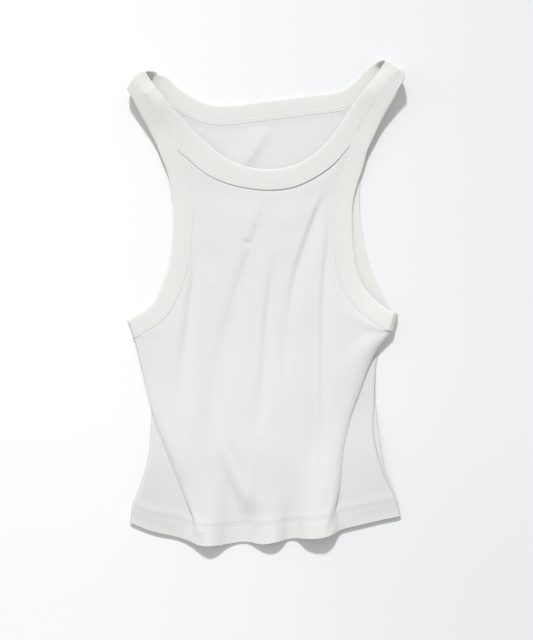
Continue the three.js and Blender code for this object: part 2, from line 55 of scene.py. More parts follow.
# Cloth, as in the part's source
WALL = 1.2
FOLDED = 2.2
HEM_DEPTH = 20.0
FRONT_LENGTH = 229.0
BACK_LENGTH = 215.0
NECK_BACK_WIDTH = 21.5
ARMHOLE_WIDTH = 20.7
FLAT = FOLDED / 2
POINT_CLEARANCE = 1.6
TUCK = 0.25  # how far a panel's edge runs under the binding sewn to it
HEM_STITCH_ROWS = (1.7, -1.7)  # mm below and above the top of the hem
HEM_STITCH_DENT, HEM_STITCH_REACH = 0.16, 1.2
SETTLE_GAP, SETTLE_SOFTNESS = 0.25, 0.35  # how the front comes down onto the back
HEM_BLUR, HEM_LOWEST = 15, 1.9  # reach of the hem's softer form, and its least height
FRONT_WALL_SHARE = 0.52  # the front's single cloth, as a share of its double hem
NO_SEAM_NEAR = 50.0  # seam distance where no seam is near
FREE_EDGE_TOP = 196  # the neck binding's seam lies lower than this (y) along the front
EVEN_ROUNDS = 8  # rounds of smoothing of that edge
LAP_RISE = 0.7  # how much the lapped ends of the neck binding stand up

# Stations of the seam lines, and how much closer the finished pieces follow them
NECK_STEPS = 26
BACK_NECK_STEPS = 14
ARMHOLE_STEPS = 18
STRAP_STEPS = 6
STRAP_BACK_STEPS = 3
LOOP_STEPS = 6
FINER = 6

# Places that the neck binding's free edge faces: x, y
NECK_MIDDLE = (0, 175)
ABOVE_NECK_FRONT = (0, 200)
ABOVE_NECK_BACK = (0, 400)

# Where each strap turns over: tip, pointing direction, height, reach and height of the turn's
# upper half, and how much closer the layers lie on the side of the neck (a share). Then the seam
# on the back and on the front (x, y, z), the widths of both bindings on the back, over the turn
# and on the front, and how far the turn bulges at places across the strap.
SHOULDERS = {
    "left": {
        "tip": (-142.7, 244.8), "toward": (-0.66, 0.75), "top": 22, "crest": (2.6, 4), "lay": 0.52,
        "back": [(-108, 219, FLAT), (-121, 229.5, FLAT)],
        "front": [(-132, 227.6, 18.4), (-120.6, 209.6, 13.4), (-110.5, 194.5, 9.7),
                  (-101, 179, 8.2), (-96.5, 169, 7.6)],
        "neck": [(21.5, 22, 23.4), (24.4, 24, 22.5, 19.5, 16, 13.6, 13.4),
                 (13.4, 16.4, 17.4, 18.8, 22.4, 26)],
        "armhole": [(20, 18, 15), (13.4, 13.4, 13.4, 13.4, 13.6, 14.2, 14.4),
                    (13.8, 14.2, 16, 17.5, 18.8, 20.3)],
        "bulge": [(-18, -6.5), (-14.6, -2.3), (-7.8, 1), (2.8, 4.2), (8.6, 4.7), (14.3, 1.2),
                  (19.8, -4.3)],
    },
    "right": {
        "tip": (140.8, 255.6), "toward": (0.67, 0.74), "top": 25.5, "crest": (2.6, 4), "lay": 0.38,
        "back": [(112.5, 228.3, FLAT), (124, 239, FLAT)],
        "front": [(134, 244.5, 21.6), (127.5, 234, 18.4), (116.5, 218, 14.4),
                  (105.5, 199, 11), (92.7, 174.4, 8.8)],
        "neck": [(21.5, 22.5, 23), (22.4, 21.4, 19.5, 17, 14.6, 13, 12.6),
                 (13.8, 16.3, 17.6, 18.2, 19.4, 20.8)],
        "armhole": [(20, 18, 16), (15.4, 15.4, 15.4, 15.4, 15.2, 15, 14.8),
                    (15.4, 16.5, 17.6, 18.2, 19, 20.3)],
        "bulge": [(-18, -7), (-15, -0.8), (-13.2, 1.8), (-7.7, 4.8), (0, 4.6), (9, 4.4),
                  (15, 1.2), (18, -2)],
    },
}
ARMPITS = {
    "left": {"tip": (-144.4, -37.5), "toward": (-0.964, -0.265), "top": 7, "crest": None},
    "right": {"tip": (138.9, -30.3), "toward": (0.975, -0.22), "top": 14, "crest": None},
}

# Width of the neck binding along the front: x, width
NECK_FRONT_WIDTHS = [
    (-100, 27.2), (-82, 27.2), (-65, 25.6), (-46, 23.6), (-20, 22), (10, 21.5), (100, 21),
]

# Where the neck binding's ends meet, on the left strap
NECK_JOINT = (-133.3, 231.5, 18.9)

# Seam lines: x, y, z
NECK_FRONT = [
    (-82, 156, 7), (-65, 142.5, 7), (-46, 133.5, 7), (-20, 127, 7), (7, 125, 7),
    (33, 129, 7), (61, 143, 7.2), (79, 157.5, 7.9),
]
NECK_BACK = [
    (99, 218.5, FLAT), (87, 213, FLAT), (43, 206.8, FLAT), (0, 201.3, FLAT),
    (-37, 196.8, FLAT), (-60, 197, FLAT), (-82, 203.8, FLAT),
]
ARMHOLE_FRONT = {
    "left": [
        (-88.6, 151, 6.2), (-84, 128, 5), (-80.8, 104, 4.7), (-81, 80, 4.7), (-84.4, 46, 4.8),
        (-92, 20, 5), (-104.7, -8, 5.6), (-118.5, -22.6, 6.3), (-132.8, -31.2, 6.9),
    ],
    "right": [
        (86, 152.5, 6.8), (79, 130, 5.4), (75, 109, 4.8), (74.6, 84, 4.8), (77, 50, 4.9),
        (84, 20, 5.5), (101, -6, 7.8), (117, -19.5, 11),
    ],
}
ARMHOLE_BACK = {
    "left": [
        (-131, -29.5, FLAT), (-115, -18, FLAT), (-99, -2, FLAT), (-87, 24, FLAT),
        (-79.5, 64, FLAT), (-78.5, 95, FLAT), (-81, 127, FLAT), (-88, 165, FLAT),
        (-97, 196, FLAT),
    ],
    "right": [
        (121, -17.5, FLAT), (109, 4, FLAT), (97, 30, FLAT), (88, 62, FLAT), (83.5, 95, FLAT),
        (83, 125, FLAT), (87, 157, FLAT), (96, 192, FLAT),
    ],
}

# The front hem's edge: x, y
HEM = [
    (-150, -240.5), (-126, -250), (-100, -256), (-86, -260.5), (-72, -265.8), (-52, -265.7),
    (-23, -262), (-4, -264.5), (12, -262), (28, -258.5), (55, -258), (70, -255),
    (84, -248.5), (103, -243.7), (127, -238), (149, -233.6),
]
# Height of the front hem's right side: x, z
HEM_HEIGHTS = [
    (-110, 4.8), (-98, 4.2), (-87, 5), (-77, 8), (-67, 14), (-61, 15), (-54, 12), (-44, 5.5),
    (-33, 2.6), (-22, 2.3), (-15, 4), (-4, 9.5), (4, 12.5), (11, 12.4), (18, 7.8), (23, 3),
    (29, 2.4), (35, 4.4), (43, 13), (50, 16.4), (58, 18), (65, 18.3), (73, 13.8), (81, 5),
    (92, 4.8), (110, 4.8),
]
BACK_HEM_MIDDLE, BACK_HEM_RISE, BACK_HEM_TILT = -252, 17, 3.5

# Folds at the sides: y, x, how far the cloth turns back under, height there
FOLD = {
    "left": [
        (-266, -76, 1, 12), (-240, -79, 3, 13), (-205, -91.5, 7, 12.6), (-167, -107, 8, 11.4),
        (-120, -124, 9, 8), (-88, -131.8, 9, 6.2), (-60, -138.8, 8, 6), (-37.5, -144.4, 5, 6.4),
    ],
    "right": [
        (-252, 73, 1, 15), (-230, 76.5, 3, 12.6), (-198, 81.5, 7, 11.4), (-162, 85, 8, 9.6),
        (-127, 92.2, 9, 7.8), (-96, 103, 9, 8), (-65, 114.7, 9, 10), (-49, 123.4, 9, 11.4),
        (-30.3, 138.9, 8, 13),
    ],
}
# Side seams on the front and the back: y, x
FRONT_EDGE = {
    "left": [
        (-240.5, -149.3), (-219, -145.8), (-207, -140.6), (-188, -133.9), (-168, -128.8),
        (-142, -126.4), (-112, -125.6), (-85, -127.2), (-60, -132.6), (-37.5, -139.4),
    ],
    "right": [
        (-233.6, 148.6), (-214, 142), (-188, 130), (-160, 121.5), (-136, 118.4),
        (-107, 119.6), (-88, 119.8), (-67, 121.4), (-48, 125), (-30.3, 131.5),
    ],
}
BACK_EDGE = {
    "left": FRONT_EDGE["left"],
    "right": [
        (-233.6, 148.6), (-212, 143.6), (-186, 132.8), (-160, 127.4), (-128, 123),
        (-107, 121.2), (-88, 121), (-67, 121.8), (-48, 125.4), (-30.3, 131.9),
    ],
}
# The cloth's path round a side: roll (a share of its radius) and its rise, fold and its
# rise, slope and its rise. None is worked out in side_row.
SIDE_PATH = [
    (1.35, 0, None, 0, None, 0),
    (1.05, 0.02, None, 0, None, 0),
    (0.75, 0.07, None, 0, None, 0),
    (0.48, 0.13, -1.2, 0, -9, 0),
    (0.25, 0.2, 1.5, 0.03, -5.5, 0.04),
    (0.05, 0.3, 1.0, 0.1, -3, 0.2),
    (-0.1, 0.42, None, 0.07, -0.8, 0.42),
    (-0.12, 0.58, None, 0.1, 1.2, 0.64),
    (0, 0.76, None, 0.3, 3.2, 0.82),
    (0.3, 0.94, None, 0.56, 5.6, 0.94),
    (0.7, 1, None, 0.88, 8.4, 0.99),
    (1, 1, None, 1, 11.5, 1),
]
OVER_WING = (-0.2, -0.9, 0.9, 5.2, 11.5)  # fold's last places, beyond the turned layer
ON_WING = 3
LIFTED = (1, 1, 0.7, 0.15)  # share of side_lift in the path's first places
# Where on that path each column of a side lies, counted in rows of the table
SIDE_PLACES = np.concatenate([np.linspace(0, 3, 24, endpoint=False), np.linspace(3, 11, 41)])
SIDE_STEPS = len(SIDE_PLACES) - 1

# Ridges that run up from the hem: lower end x, y, upper end x, y, height low, height high, reach
WAVES = [
    (-62, -266, -64, -190, 1.6, 0.3, 14),
    (58, -258, 66, -190, 1.2, 0.3, 14),
]
# How high the front arches at its middle: y, height
CROWN = [
    (-266, -5), (-225, 0), (-180, 2), (-120, 2.9), (-80, 2), (-33, -1), (-10, 0.4), (20, 1.8),
    (50, 2.9), (100, 3.2), (125, 1.6),
]

# Creases and soft ridges of the front, each along its own line: x, y, height, and half width
# towards the left and towards the right
CREASES = [
    # from the right end of the neck down to the middle
    [(67, 124, 0, 3, 6), (57, 102, -1.8, 3.2, 8), (48, 78, -2.2, 3.4, 10), (42, 60, -2.1, 3.6, 11),
     (36, 42, -2, 3.8, 10), (31.5, 23, -1.7, 4, 9), (28, 2, -1.2, 4.5, 9), (24, -24, 0, 5, 9)],
    # beside it, down to the hem
    [(75, 112, 0, 3, 6), (71, 85, -1.4, 3.4, 6), (68.5, 60, -1.8, 3.6, 6),
     (65.5, 35, -2, 3.8, 7), (64, 0, -2.2, 4, 7), (63.5, -40, -2.2, 4.4, 7),
     (63, -80, -2, 5, 7), (62, -120, -1.8, 6, 7), (61.5, -165, -1.6, 6, 7), (62, -205, 0, 6, 7)],
    [(52, 10, 0, 6, 4), (52, -40, -1, 7, 5), (52, -100, -1.2, 7, 5), (51, -160, -1.2, 7, 5),
     (48, -215, 0, 7, 5)],
    # from under the middle of the neck to the left of the hem
    [(-1, 112, 0, 5, 14), (-6, 92, -1.2, 5, 14), (-13, 68, -1.7, 6, 16), (-20, 45, -1.7, 6.5, 16),
     (-28, 22, -1.7, 7, 16), (-34, 0, -1.6, 7.5, 16), (-43, -32, -1.5, 8, 16),
     (-51, -62, -1.3, 8, 16), (-58, -92, -1.1, 8, 14), (-61, -120, -1.6, 10, 11),
     (-61, -150, -2.2, 13, 8), (-54, -178, -3, 14, 8.5), (-43, -203, -3.2, 13, 10),
     (-26, -226, -2.2, 12, 12), (-10, -242, 0, 12, 14)],
    [(-84, -50, 0, 8, 8), (-83, -85, 1, 9, 8), (-79, -115, 1.4, 9, 8), (-71, -145, 1.8, 9, 8),
     (-60, -175, 2, 9, 8), (-50, -200, 2, 10, 8), (-43, -228, 0, 10, 8)],
    [(-42, -148, 0, 4, 6), (-36, -165, -0.8, 4, 6), (-28, -188, -1, 4, 6), (-22, -212, 0, 4, 6)],
    # at the left
    [(-79, 66, 0, 4, 6), (-80, 45, -1.2, 4, 7), (-81, 20, -1.8, 4.5, 7), (-83, -2, -2.2, 5, 7),
     (-86, -28, -2.2, 5, 7), (-89, -55, -1.9, 6, 7), (-91, -85, -1.4, 7, 8), (-88, -125, 0, 8, 8)],
    # down the middle
    [(10, 58, 0, 4, 7), (8, 40, -1, 4, 7), (5.5, 18, -1.7, 4, 7), (3.5, 0, -2.1, 4.2, 7),
     (1.5, -25, -2.1, 4.6, 7), (0, -55, -2, 5.5, 7), (-1.5, -85, -1.9, 7, 7),
     (-4, -112, -1.6, 9, 8), (-8, -145, 0, 10, 9)],
    [(24, 0, 0, 5, 6), (23, -30, -0.9, 6, 6), (22, -62, -0.7, 6, 6), (20, -90, 0, 6, 6)],
    # small ones
    [(-26, 71, 0, 2, 2), (-20, 66, -1.2, 2.6, 3), (-15, 68, 0, 2, 2)],
    [(-66, 72, 0, 6, 10), (-62, 50, -0.8, 7, 12), (-56, 22, 0, 7, 12)],
]
# The back panel's crease inside the neck, in the same way
BACK_CREASES = [
    [(5, 197, 0, 14, 6), (-6, 180, 1.6, 14, 6), (-17, 163, 2, 14, 6), (-28, 147, 1.2, 14, 6),
     (-34, 134, 0, 14, 6)],
]


def ease(value, low, high):
    t = np.clip((np.asarray(value, float) - low) / (high - low), 0, 1)
    return t * t * (3 - 2 * t)


def mix(a, b, t):
    return a + (b - a) * t


def read(rows, at, column=1):
    """A column of a table at places along its first one, on a smooth curve through its rows."""
    table = np.array(sorted(rows), float)
    keys, values = table[:, 0], table[:, column]
    slopes = np.gradient(values)
    slopes[1:-1] = (values[2:] - values[:-2]) / (keys[2:] - keys[:-2])
    slopes[0] = (values[1] - values[0]) / (keys[1] - keys[0])
    slopes[-1] = (values[-1] - values[-2]) / (keys[-1] - keys[-2])
    at = np.clip(at, keys[0], keys[-1])
    i = np.clip(np.searchsorted(keys, at, side="right") - 1, 0, len(keys) - 2)
    span = keys[i + 1] - keys[i]
    s = (at - keys[i]) / span
    return ((2 * s**3 - 3 * s**2 + 1) * values[i] + (s**3 - 2 * s**2 + s) * span * slopes[i]
            + (3 * s**2 - 2 * s**3) * values[i + 1] + (s**3 - s**2) * span * slopes[i + 1])


def spaced(points, steps):
    """Evenly spaced points on a smooth curve through some points."""
    p = np.array(points, float)
    p = np.vstack([2 * p[0] - p[1], p, 2 * p[-1] - p[-2]])
    fine = []
    s = np.linspace(0, 1, 60, endpoint=False)[:, None]
    for k in range(1, len(p) - 2):
        a, b, c, d = p[k - 1], p[k], p[k + 1], p[k + 2]
        t0, t1, t2 = (max(np.linalg.norm(q - r), 1e-6) ** 0.5 for q, r in ((b, a), (c, b), (d, c)))
        start = ((b - a) / t0 - (c - a) / (t0 + t1) + (c - b) / t1) * t1
        end = ((c - b) / t1 - (d - b) / (t1 + t2) + (d - c) / t2) * t1
        fine.append(b + start * s + (3 * (c - b) - 2 * start - end) * s**2
                    + (2 * (b - c) + start + end) * s**3)
    line = np.vstack(fine + [p[-2][None]])
    length = np.append(0, np.cumsum(np.linalg.norm(np.diff(line, axis=0), axis=1)))
    at = np.linspace(0, length[-1], steps + 1)
    return np.column_stack([np.interp(at, length, line[:, k]) for k in range(line.shape[1])])


# Stations of a seam line are rows of: point x y z, direction across the binding x y z, width.


def square_to(step, place, facing):
    """Level directions square to a line, on the side that faces a place."""
    across = np.column_stack([-step[:, 1], step[:, 0], np.zeros(len(step))])
    across /= np.linalg.norm(across, axis=1)[:, None]
    aim = np.array(facing, float)[None] - place[:, :2]
    side = np.sign((across[:, :2] * aim).sum(axis=1))
    return across * np.where(side == 0, 1, side)[:, None]


def stretch(points, steps, facing, width=0.0):
    """Stations of one width along a smooth line; a width of 0 is filled in later."""
    line = spaced(points, steps)
    at = np.arange(steps + 1)
    step = line[np.minimum(at + 1, steps)] - line[np.maximum(at - 1, 0)]
    return np.column_stack([line, square_to(step, line, facing), np.full(steps + 1, width)])


def turn_over(turn, facing, width=0.0):
    """Stations where a binding turns over, from the under layer to the upper one."""
    radius = (turn["top"] - FLAT) / 2
    toward = np.array([*turn["toward"], 0.0])
    toward /= np.linalg.norm(toward)
    tip = np.array([*turn["tip"], 0.0])
    angle = np.pi * (np.arange(LOOP_STEPS + 1) / LOOP_STEPS - 0.5)
    length, height = turn["crest"] or (radius, radius)
    reach = np.where(angle > 0, length, radius)
    point = tip - toward * (reach * (1 - np.cos(angle)))[:, None]
    low = turn["top"] - height
    rise = np.where(angle > 0, height, low - FLAT)
    point[:, 2] = low + rise * np.sin(angle)
    across = np.repeat(square_to(toward[None], tip[None], facing), LOOP_STEPS + 1, axis=0)
    return np.column_stack([point, across, np.full(LOOP_STEPS + 1, width)])


def round_crests(points):
    """Rounds the straps' turned ends: their outline bulges, its corners draw back, and the
    layers lie closer together on the side of the neck."""
    for shoulder in SHOULDERS.values():
        tip = np.array(shoulder["tip"], float)
        toward = np.array(shoulder["toward"], float)
        toward /= np.linalg.norm(toward)
        across = np.array([-toward[1], toward[0]])
        across *= np.sign((np.array(NECK_MIDDLE) - tip) @ across)
        offset = points[..., :2] - tip
        near = ease(offset @ toward, -24, -2)[..., None]
        bulge = read(shoulder["bulge"], offset @ across)[..., None]
        points[..., :2] += toward * bulge * near
        lay = shoulder["lay"] * ease(offset @ across, -6, 14) * ease(offset @ toward, -44, -6)
        between = 4.2 + 4.6 * ease(offset @ toward, -22, 1)
        points[..., 2] = mix(points[..., 2], between, lay)


def flip(stations):
    turned = stations.copy()
    turned[:, 3:6] *= -1
    return turned


def strap_stations(shoulder, binding):
    over = turn_over(shoulder, NECK_MIDDLE)
    back = stretch([*shoulder["back"], over[0, :3]], STRAP_BACK_STEPS, NECK_MIDDLE)
    front = stretch([over[-1, :3], *shoulder["front"]], STRAP_STEPS, NECK_MIDDLE)
    strap = np.vstack([back[:-1], over, front[1:]])
    strap[:, 6] = np.concatenate(shoulder[binding])
    return strap


def smoothed(ring):
    return (2 * ring + np.roll(ring, 1, axis=0) + np.roll(ring, -1, axis=0)) / 4


def settle(ring, rounds):
    """Evens out the directions of a ring's stations, and in the first rounds their widths."""
    for k in range(rounds):
        mean = smoothed(ring)
        ring = np.column_stack([ring[:, :3], mean[:, 3:6], mean[:, 6] if k < 3 else ring[:, 6]])
        ring[:, 3:6] /= np.linalg.norm(ring[:, 3:6], axis=1)[:, None]
    return ring


def even_edge(ring):
    """Evens out the free edge of the neck binding along the front."""
    seam = ring[:, :3]
    edge = seam + ring[:, 3:6] * ring[:, 6:]
    free = (seam[:, 1] < FREE_EDGE_TOP)[:, None]
    for _ in range(EVEN_ROUNDS):
        edge = np.where(free, smoothed(edge), edge)
    width = np.linalg.norm(edge - seam, axis=1)[:, None]
    return np.column_stack([seam, (edge - seam) / width, width])


def spline_piece(a, b, c, d, s):
    """A stretch of a smooth curve that its four control points shape, at shares of its length."""
    return ((1 - s)**3 * a + (3 * s**3 - 6 * s**2 + 4) * b
            + (-3 * s**3 + 3 * s**2 + 3 * s + 1) * c + s**3 * d) / 6


def refine(ring, times):
    """A ring with more stations, on a smooth closed curve through the ones that it has."""
    count = len(ring)
    weight = (4 + 2 * np.cos(2 * np.pi * np.arange(count) / count)) / 6
    control = np.fft.ifft(np.fft.fft(ring, axis=0) / weight[:, None], axis=0).real
    s = (np.arange(times) / times)[None, :, None]
    a, b, c, d = (np.roll(control, k, axis=0)[:, None, :] for k in (1, 0, -1, -2))
    fine = spline_piece(a, b, c, d, s).reshape(-1, 7)
    fine[:, 3:6] /= np.linalg.norm(fine[:, 3:6], axis=1)[:, None]
    return fine


def part_of(ring, start, steps):
    """A stretch of a refined ring, counted in the stations that it had before."""
    return ring[(start * FINER + np.arange(steps * FINER + 1)) % len(ring)]


def seam_lines():
    """All seam lines, as closed rings of stations, and the stretches that the panels need."""
    straps = {side: strap_stations(SHOULDERS[side], "neck") for side in SHOULDERS}

    def end(side, at):
        return tuple(straps[side][0 if at == "back" else -1, :3])

    front = stretch([end("left", "front"), *NECK_FRONT, end("right", "front")], NECK_STEPS,
                    ABOVE_NECK_FRONT)
    front[:, 6] = read(NECK_FRONT_WIDTHS, front[:, 0])
    back = stretch([end("right", "back"), *NECK_BACK, end("left", "back")], BACK_NECK_STEPS,
                   ABOVE_NECK_BACK, NECK_BACK_WIDTH)
    parts = (straps["left"], front, straps["right"][::-1], back)
    neck = even_edge(settle(np.vstack([part[:-1] for part in parts]), 7))
    neck = refine(neck, FINER)
    strap = len(straps["left"]) - 1
    lines = {
        "neck": neck,
        "neck_front": part_of(neck, strap, NECK_STEPS),
        "neck_back": part_of(neck, 2 * strap + NECK_STEPS, BACK_NECK_STEPS)[::-1],
    }
    for side, facing in (("left", (-190, 100)), ("right", (190, 100))):
        tip = ARMPITS[side]["tip"]
        armpit = turn_over(ARMPITS[side], (tip[0], 100), ARMHOLE_WIDTH)
        front = stretch([end(side, "front"), *ARMHOLE_FRONT[side], armpit[-1, :3]],
                        ARMHOLE_STEPS, facing, ARMHOLE_WIDTH)
        back = stretch([armpit[0, :3], *ARMHOLE_BACK[side], end(side, "back")],
                       ARMHOLE_STEPS, facing, ARMHOLE_WIDTH)
        strap_side = flip(strap_stations(SHOULDERS[side], "armhole"))
        parts = (strap_side, front, armpit[::-1], back)
        ring = refine(settle(np.vstack([part[:-1] for part in parts]), 3), FINER)
        lines["armhole_" + side] = ring
        lines["front_" + side] = part_of(ring, strap, ARMHOLE_STEPS)[::-1]
        lines["back_" + side] = part_of(ring, strap + ARMHOLE_STEPS + LOOP_STEPS, ARMHOLE_STEPS)
    return lines


def panel_edge(stations, lift):
    """The line of a panel's edge, tucked under the binding sewn to it."""
    edge = stations[:, :3] + stations[:, 3:6] * TUCK
    edge[:, 2] += lift
    return edge


def horn_tip(edge_a, edge_b, corner):
    """A panel's point between two bindings, drawn back from the corner where they meet."""
    a = (edge_a - corner) / np.linalg.norm(edge_a - corner)
    b = (edge_b - corner) / np.linalg.norm(edge_b - corner)
    return corner + (a + b) / np.linalg.norm(a + b) * POINT_CLEARANCE


def yoke_rows(left_seam, right_seam, neck_seam, lift):
    """Rows of a panel between the armholes, from the armpits to the neck."""
    steps, rows = len(neck_seam) - 1, len(left_seam) - 1
    top = panel_edge(neck_seam, lift)
    left, right = panel_edge(left_seam, lift), panel_edge(right_seam, lift)
    top[0] = horn_tip(top[FINER], left[rows - FINER], top[0])
    top[steps] = horn_tip(top[steps - FINER], right[rows - FINER], top[steps])
    u = np.linspace(0, 1, steps + 1)[None, :, None]
    share = (np.arange(rows + 1) / rows)[:, None, None]
    grid = mix(left[:, None], right[:, None], u)
    sag = top[None] - mix(top[0], top[steps], u)
    grid = grid + sag * share**1.5
    grid[rows] = top
    return grid


def wave_height(x, y):
    """Height of the ridges that run up from the hem."""
    height = np.zeros_like(x)
    for x0, y0, x1, y1, low, high, reach in WAVES:
        along = np.clip((y - y0) / (y1 - y0), -0.4, 1.4)
        offset = (x - mix(x0, x1, along)) / reach
        inside = ease(along, -0.25, 0.05) * (1 - ease(along, 0.85, 1.35))
        height += mix(low, high, np.clip(along, 0, 1)) * inside * np.exp(-offset**2)
    return height


def crease_height(x, y, creases):
    """Height of creases, each measured from the nearest place on its own line."""
    height = np.zeros_like(x)
    for crease in creases:
        line = spaced(crease, 24)
        near = np.full(x.shape, 1e9)
        rise = np.zeros_like(x)
        for (x0, y0, *start), (x1, y1, *end) in zip(line[:-1], line[1:]):
            along = ((x - x0) * (x1 - x0) + (y - y0) * (y1 - y0)) / ((x1 - x0)**2 + (y1 - y0)**2)
            along = np.clip(along, 0, 1)
            away = (x - mix(x0, x1, along))**2 + (y - mix(y0, y1, along))**2
            closer = away < near
            near = np.where(closer, away, near)
            tall, wide_left, wide_right = (mix(a, b, along) for a, b in zip(start, end))
            on_right = (x - x0) * (y1 - y0) - (y - y0) * (x1 - x0) < 0
            bump = tall * np.exp(-away / np.where(on_right, wide_right, wide_left)**2)
            rise = np.where(closer, bump, rise)
        height += rise
    return height


def row_level(x, share, top):
    """Place up the picture of a row that lies a share of the way from the hem to the armpit."""
    return mix(read(HEM, x), top, share)


def place_on_row(line, share, top):
    """Where a line crosses a row, found in a few rounds."""
    x = line[0][1]
    for _ in range(6):
        x = read(line, row_level(x, share, top))
    return x


def spline_points(control, places):
    """A smooth curve that starts and ends on its first and last control points."""
    c = np.array(control, float)
    p = np.vstack([2 * c[0] - c[1], c, 2 * c[-1] - c[-2]])
    k = np.minimum(places.astype(int), len(c) - 2)
    s = (places - k)[:, None]
    return spline_piece(p[k], p[k + 1], p[k + 2], p[k + 3], s)


def side_lift(level):
    """How far both layers rise beside the side seams, between the hem and the waist."""
    risen = np.minimum(level, 70)
    risen = risen - np.maximum(risen - 40, 0)**2 / 60
    return 0.1 * risen * (1 - ease(level, 72, 150))


def side_row(side, share, seat, outward):
    """The front's path round one side, from the side seam to the flat of the front."""
    inward = 1 if side == "left" else -1
    armpit = ARMPITS[side]
    fold = FOLD[side]
    lean = abs(armpit["toward"][0])
    top = armpit["tip"][1]
    fold_x = place_on_row(fold, share, top)
    fold_y = row_level(fold_x, share, top)
    depth = read(fold, fold_y, 2)
    height = read(fold, fold_y, 3) + outward
    edge_x = place_on_row(FRONT_EDGE[side], share, top)
    base = seat + outward
    lift = side_lift(share * FRONT_LENGTH)
    radius = (armpit["top"] - FLAT) / 2
    edge_at = (edge_x - fold_x) * inward / lean
    rolled = ease(share, 0.8, 1)
    opened = 1 - ease(share, 0.06, 0.2)
    over_wing = [depth * 0.5, *OVER_WING]
    control = []
    for i, (roll, roll_rise, folded, fold_rise, slope, slope_rise) in enumerate(SIDE_PATH):
        if folded is not None:
            folded = depth + folded
        elif i < ON_WING:
            folded = mix(edge_at, depth + SIDE_PATH[ON_WING][2], i / ON_WING)
        else:
            folded = over_wing[i - (len(SIDE_PATH) - len(over_wing))]
        if slope is None:
            slope = mix(edge_at, SIDE_PATH[ON_WING][4], i / ON_WING)
        place = mix(mix(folded, slope, opened), roll * radius, rolled)
        rise = mix(mix(fold_rise, slope_rise, opened), roll_rise, rolled)
        lifted = lift * LIFTED[i] if i < len(LIFTED) else 0
        control.append((place, mix(base, height, rise) + lifted))
    path = spline_points(control, SIDE_PLACES)
    x = fold_x + inward * path[:, 0] * lean
    tilt = -armpit["toward"][1] * np.clip(path[:, 0], -10, 14)
    return np.column_stack([x, row_level(x, share, top + tilt), path[:, 1]])


# Share of a change in the front's height that each point round a side takes part in
OVER_FOLD = ease(SIDE_PLACES, 7, 11)


def front_levels():
    return np.concatenate([
        [0, 0.8, 2, 4, 6.5, 9, 11.5, 14], np.arange(16, 25, 0.75), np.linspace(26, FRONT_LENGTH, 84),
    ])


def hem_height(x, level):
    """Height of the hem at its edge; its ridges get softer further in."""
    weights = {d: math.exp(-(d / HEM_BLUR)**2) for d in range(-28, 29, 4)}
    calm = sum(w * read(HEM_HEIGHTS, x + d) for d, w in weights.items()) / sum(weights.values())
    return np.maximum(mix(read(HEM_HEIGHTS, x), calm, ease(level, -16, 56)), HEM_LOWEST)


def raised_end(height, u):
    """Keeps what a row's right end has over 8 mm of height in the last part of the row."""
    return np.maximum(height - 8, 0) * (ease(u, 0.84, 1) - u)


def front_grid(lines):
    """Points on the right side of the front panel: the body, then the part between the armholes."""
    outward = WALL / 2
    body = []
    levels = front_levels()
    steps = NECK_STEPS * FINER
    u = np.linspace(0, 1, steps + 1)
    away = ease(u, 0, 0.12) * ease(1 - u, 0, 0.12)
    top = mix(ARMPITS["left"]["tip"][1], ARMPITS["right"]["tip"][1], u)
    for level in levels[:-1]:
        share = level / FRONT_LENGTH
        wall = mix(FOLDED, WALL, ease(level, HEM_DEPTH - 1, HEM_DEPTH + 22))
        under = mix(FOLDED, WALL, ease(level, HEM_DEPTH + 4, HEM_DEPTH + 45))
        seat = under + 0.1 + wall - outward
        left = side_row("left", share, seat, outward)
        right = side_row("right", share, seat, outward)[::-1]
        x = mix(left[-1, 0], right[0, 0], u)
        y = row_level(x, share, top)
        y = y + (left[-1, 1] - y[0]) * (1 - ease(u, 0, 0.2)) + (right[0, 1] - y[-1]) * ease(u, 0.8, 1)
        z = (mix(left[-1, 2], right[0, 2], u) + read(CROWN, y) * np.sin(np.pi * u)
             + wave_height(x, y) * away)
        z += raised_end(right[0, 2], u) * ease(right[0, 1], -190, -45)
        # the cloth comes down softly onto the back panel, never into it
        low = seat + outward - SETTLE_GAP
        over = np.clip((z - low) / SETTLE_SOFTNESS, -30, 30)
        z = low + np.log1p(np.exp(over)) * SETTLE_SOFTNESS
        hem_z = hem_height(x, level)
        # the long hollow left of the middle, which leans as it goes up
        hollow = np.exp(-((x + 15 + 0.12 * level) / 15)**2)
        at_hem = 1 - ease(level, 2, mix(115, 70, hollow))
        z = mix(z, hem_z, at_hem) + hollow * 2 * np.exp(-((level - 46) / 18)**2)
        for side, rise in ((left, z[0] - left[-1, 2]), (right[::-1], z[-1] - right[0, 2])):
            side[:, 2] += rise * OVER_FOLD
            flat_hem = 1 - ease(level, 1, 18)
            hem_z = np.maximum(hem_height(side[:, 0], level), 4)
            side[:, 2] = mix(side[:, 2], hem_z, flat_hem)
        middle = np.column_stack([x, y, z])
        body.append(np.vstack([left[:-1], middle, right[1:]]))
    armpit_left = side_row("left", 1, WALL + 0.1 + outward, outward)[:-1]
    armpit_right = side_row("right", 1, WALL + 0.1 + outward, outward)[::-1][1:]
    yoke = yoke_rows(lines["front_left"], lines["front_right"], lines["neck_front"], outward)
    x, y = yoke[:, :, 0], yoke[:, :, 1]
    share = (np.arange(len(yoke)) / (len(yoke) - 1))[:, None]
    shape = read(CROWN, y) * np.sin(np.pi * u)[None] + wave_height(x, y)
    yoke[:, :, 2] += away[None] * (1 - ease(share, 0.75, 1)) * shape
    yoke[:, :, 2] += raised_end(yoke[:, -1:, 2], u)
    body.append(np.vstack([armpit_left, yoke[0], armpit_right]))
    return np.array(body), yoke, levels


def add_creases(points, creases, depth, keep):
    points[..., 2] += depth * keep * crease_height(points[..., 0], points[..., 1], creases)


def select_only(obj):
    bpy.ops.object.select_all(action="DESELECT")
    bpy.context.view_layer.objects.active = obj
    obj.select_set(True)


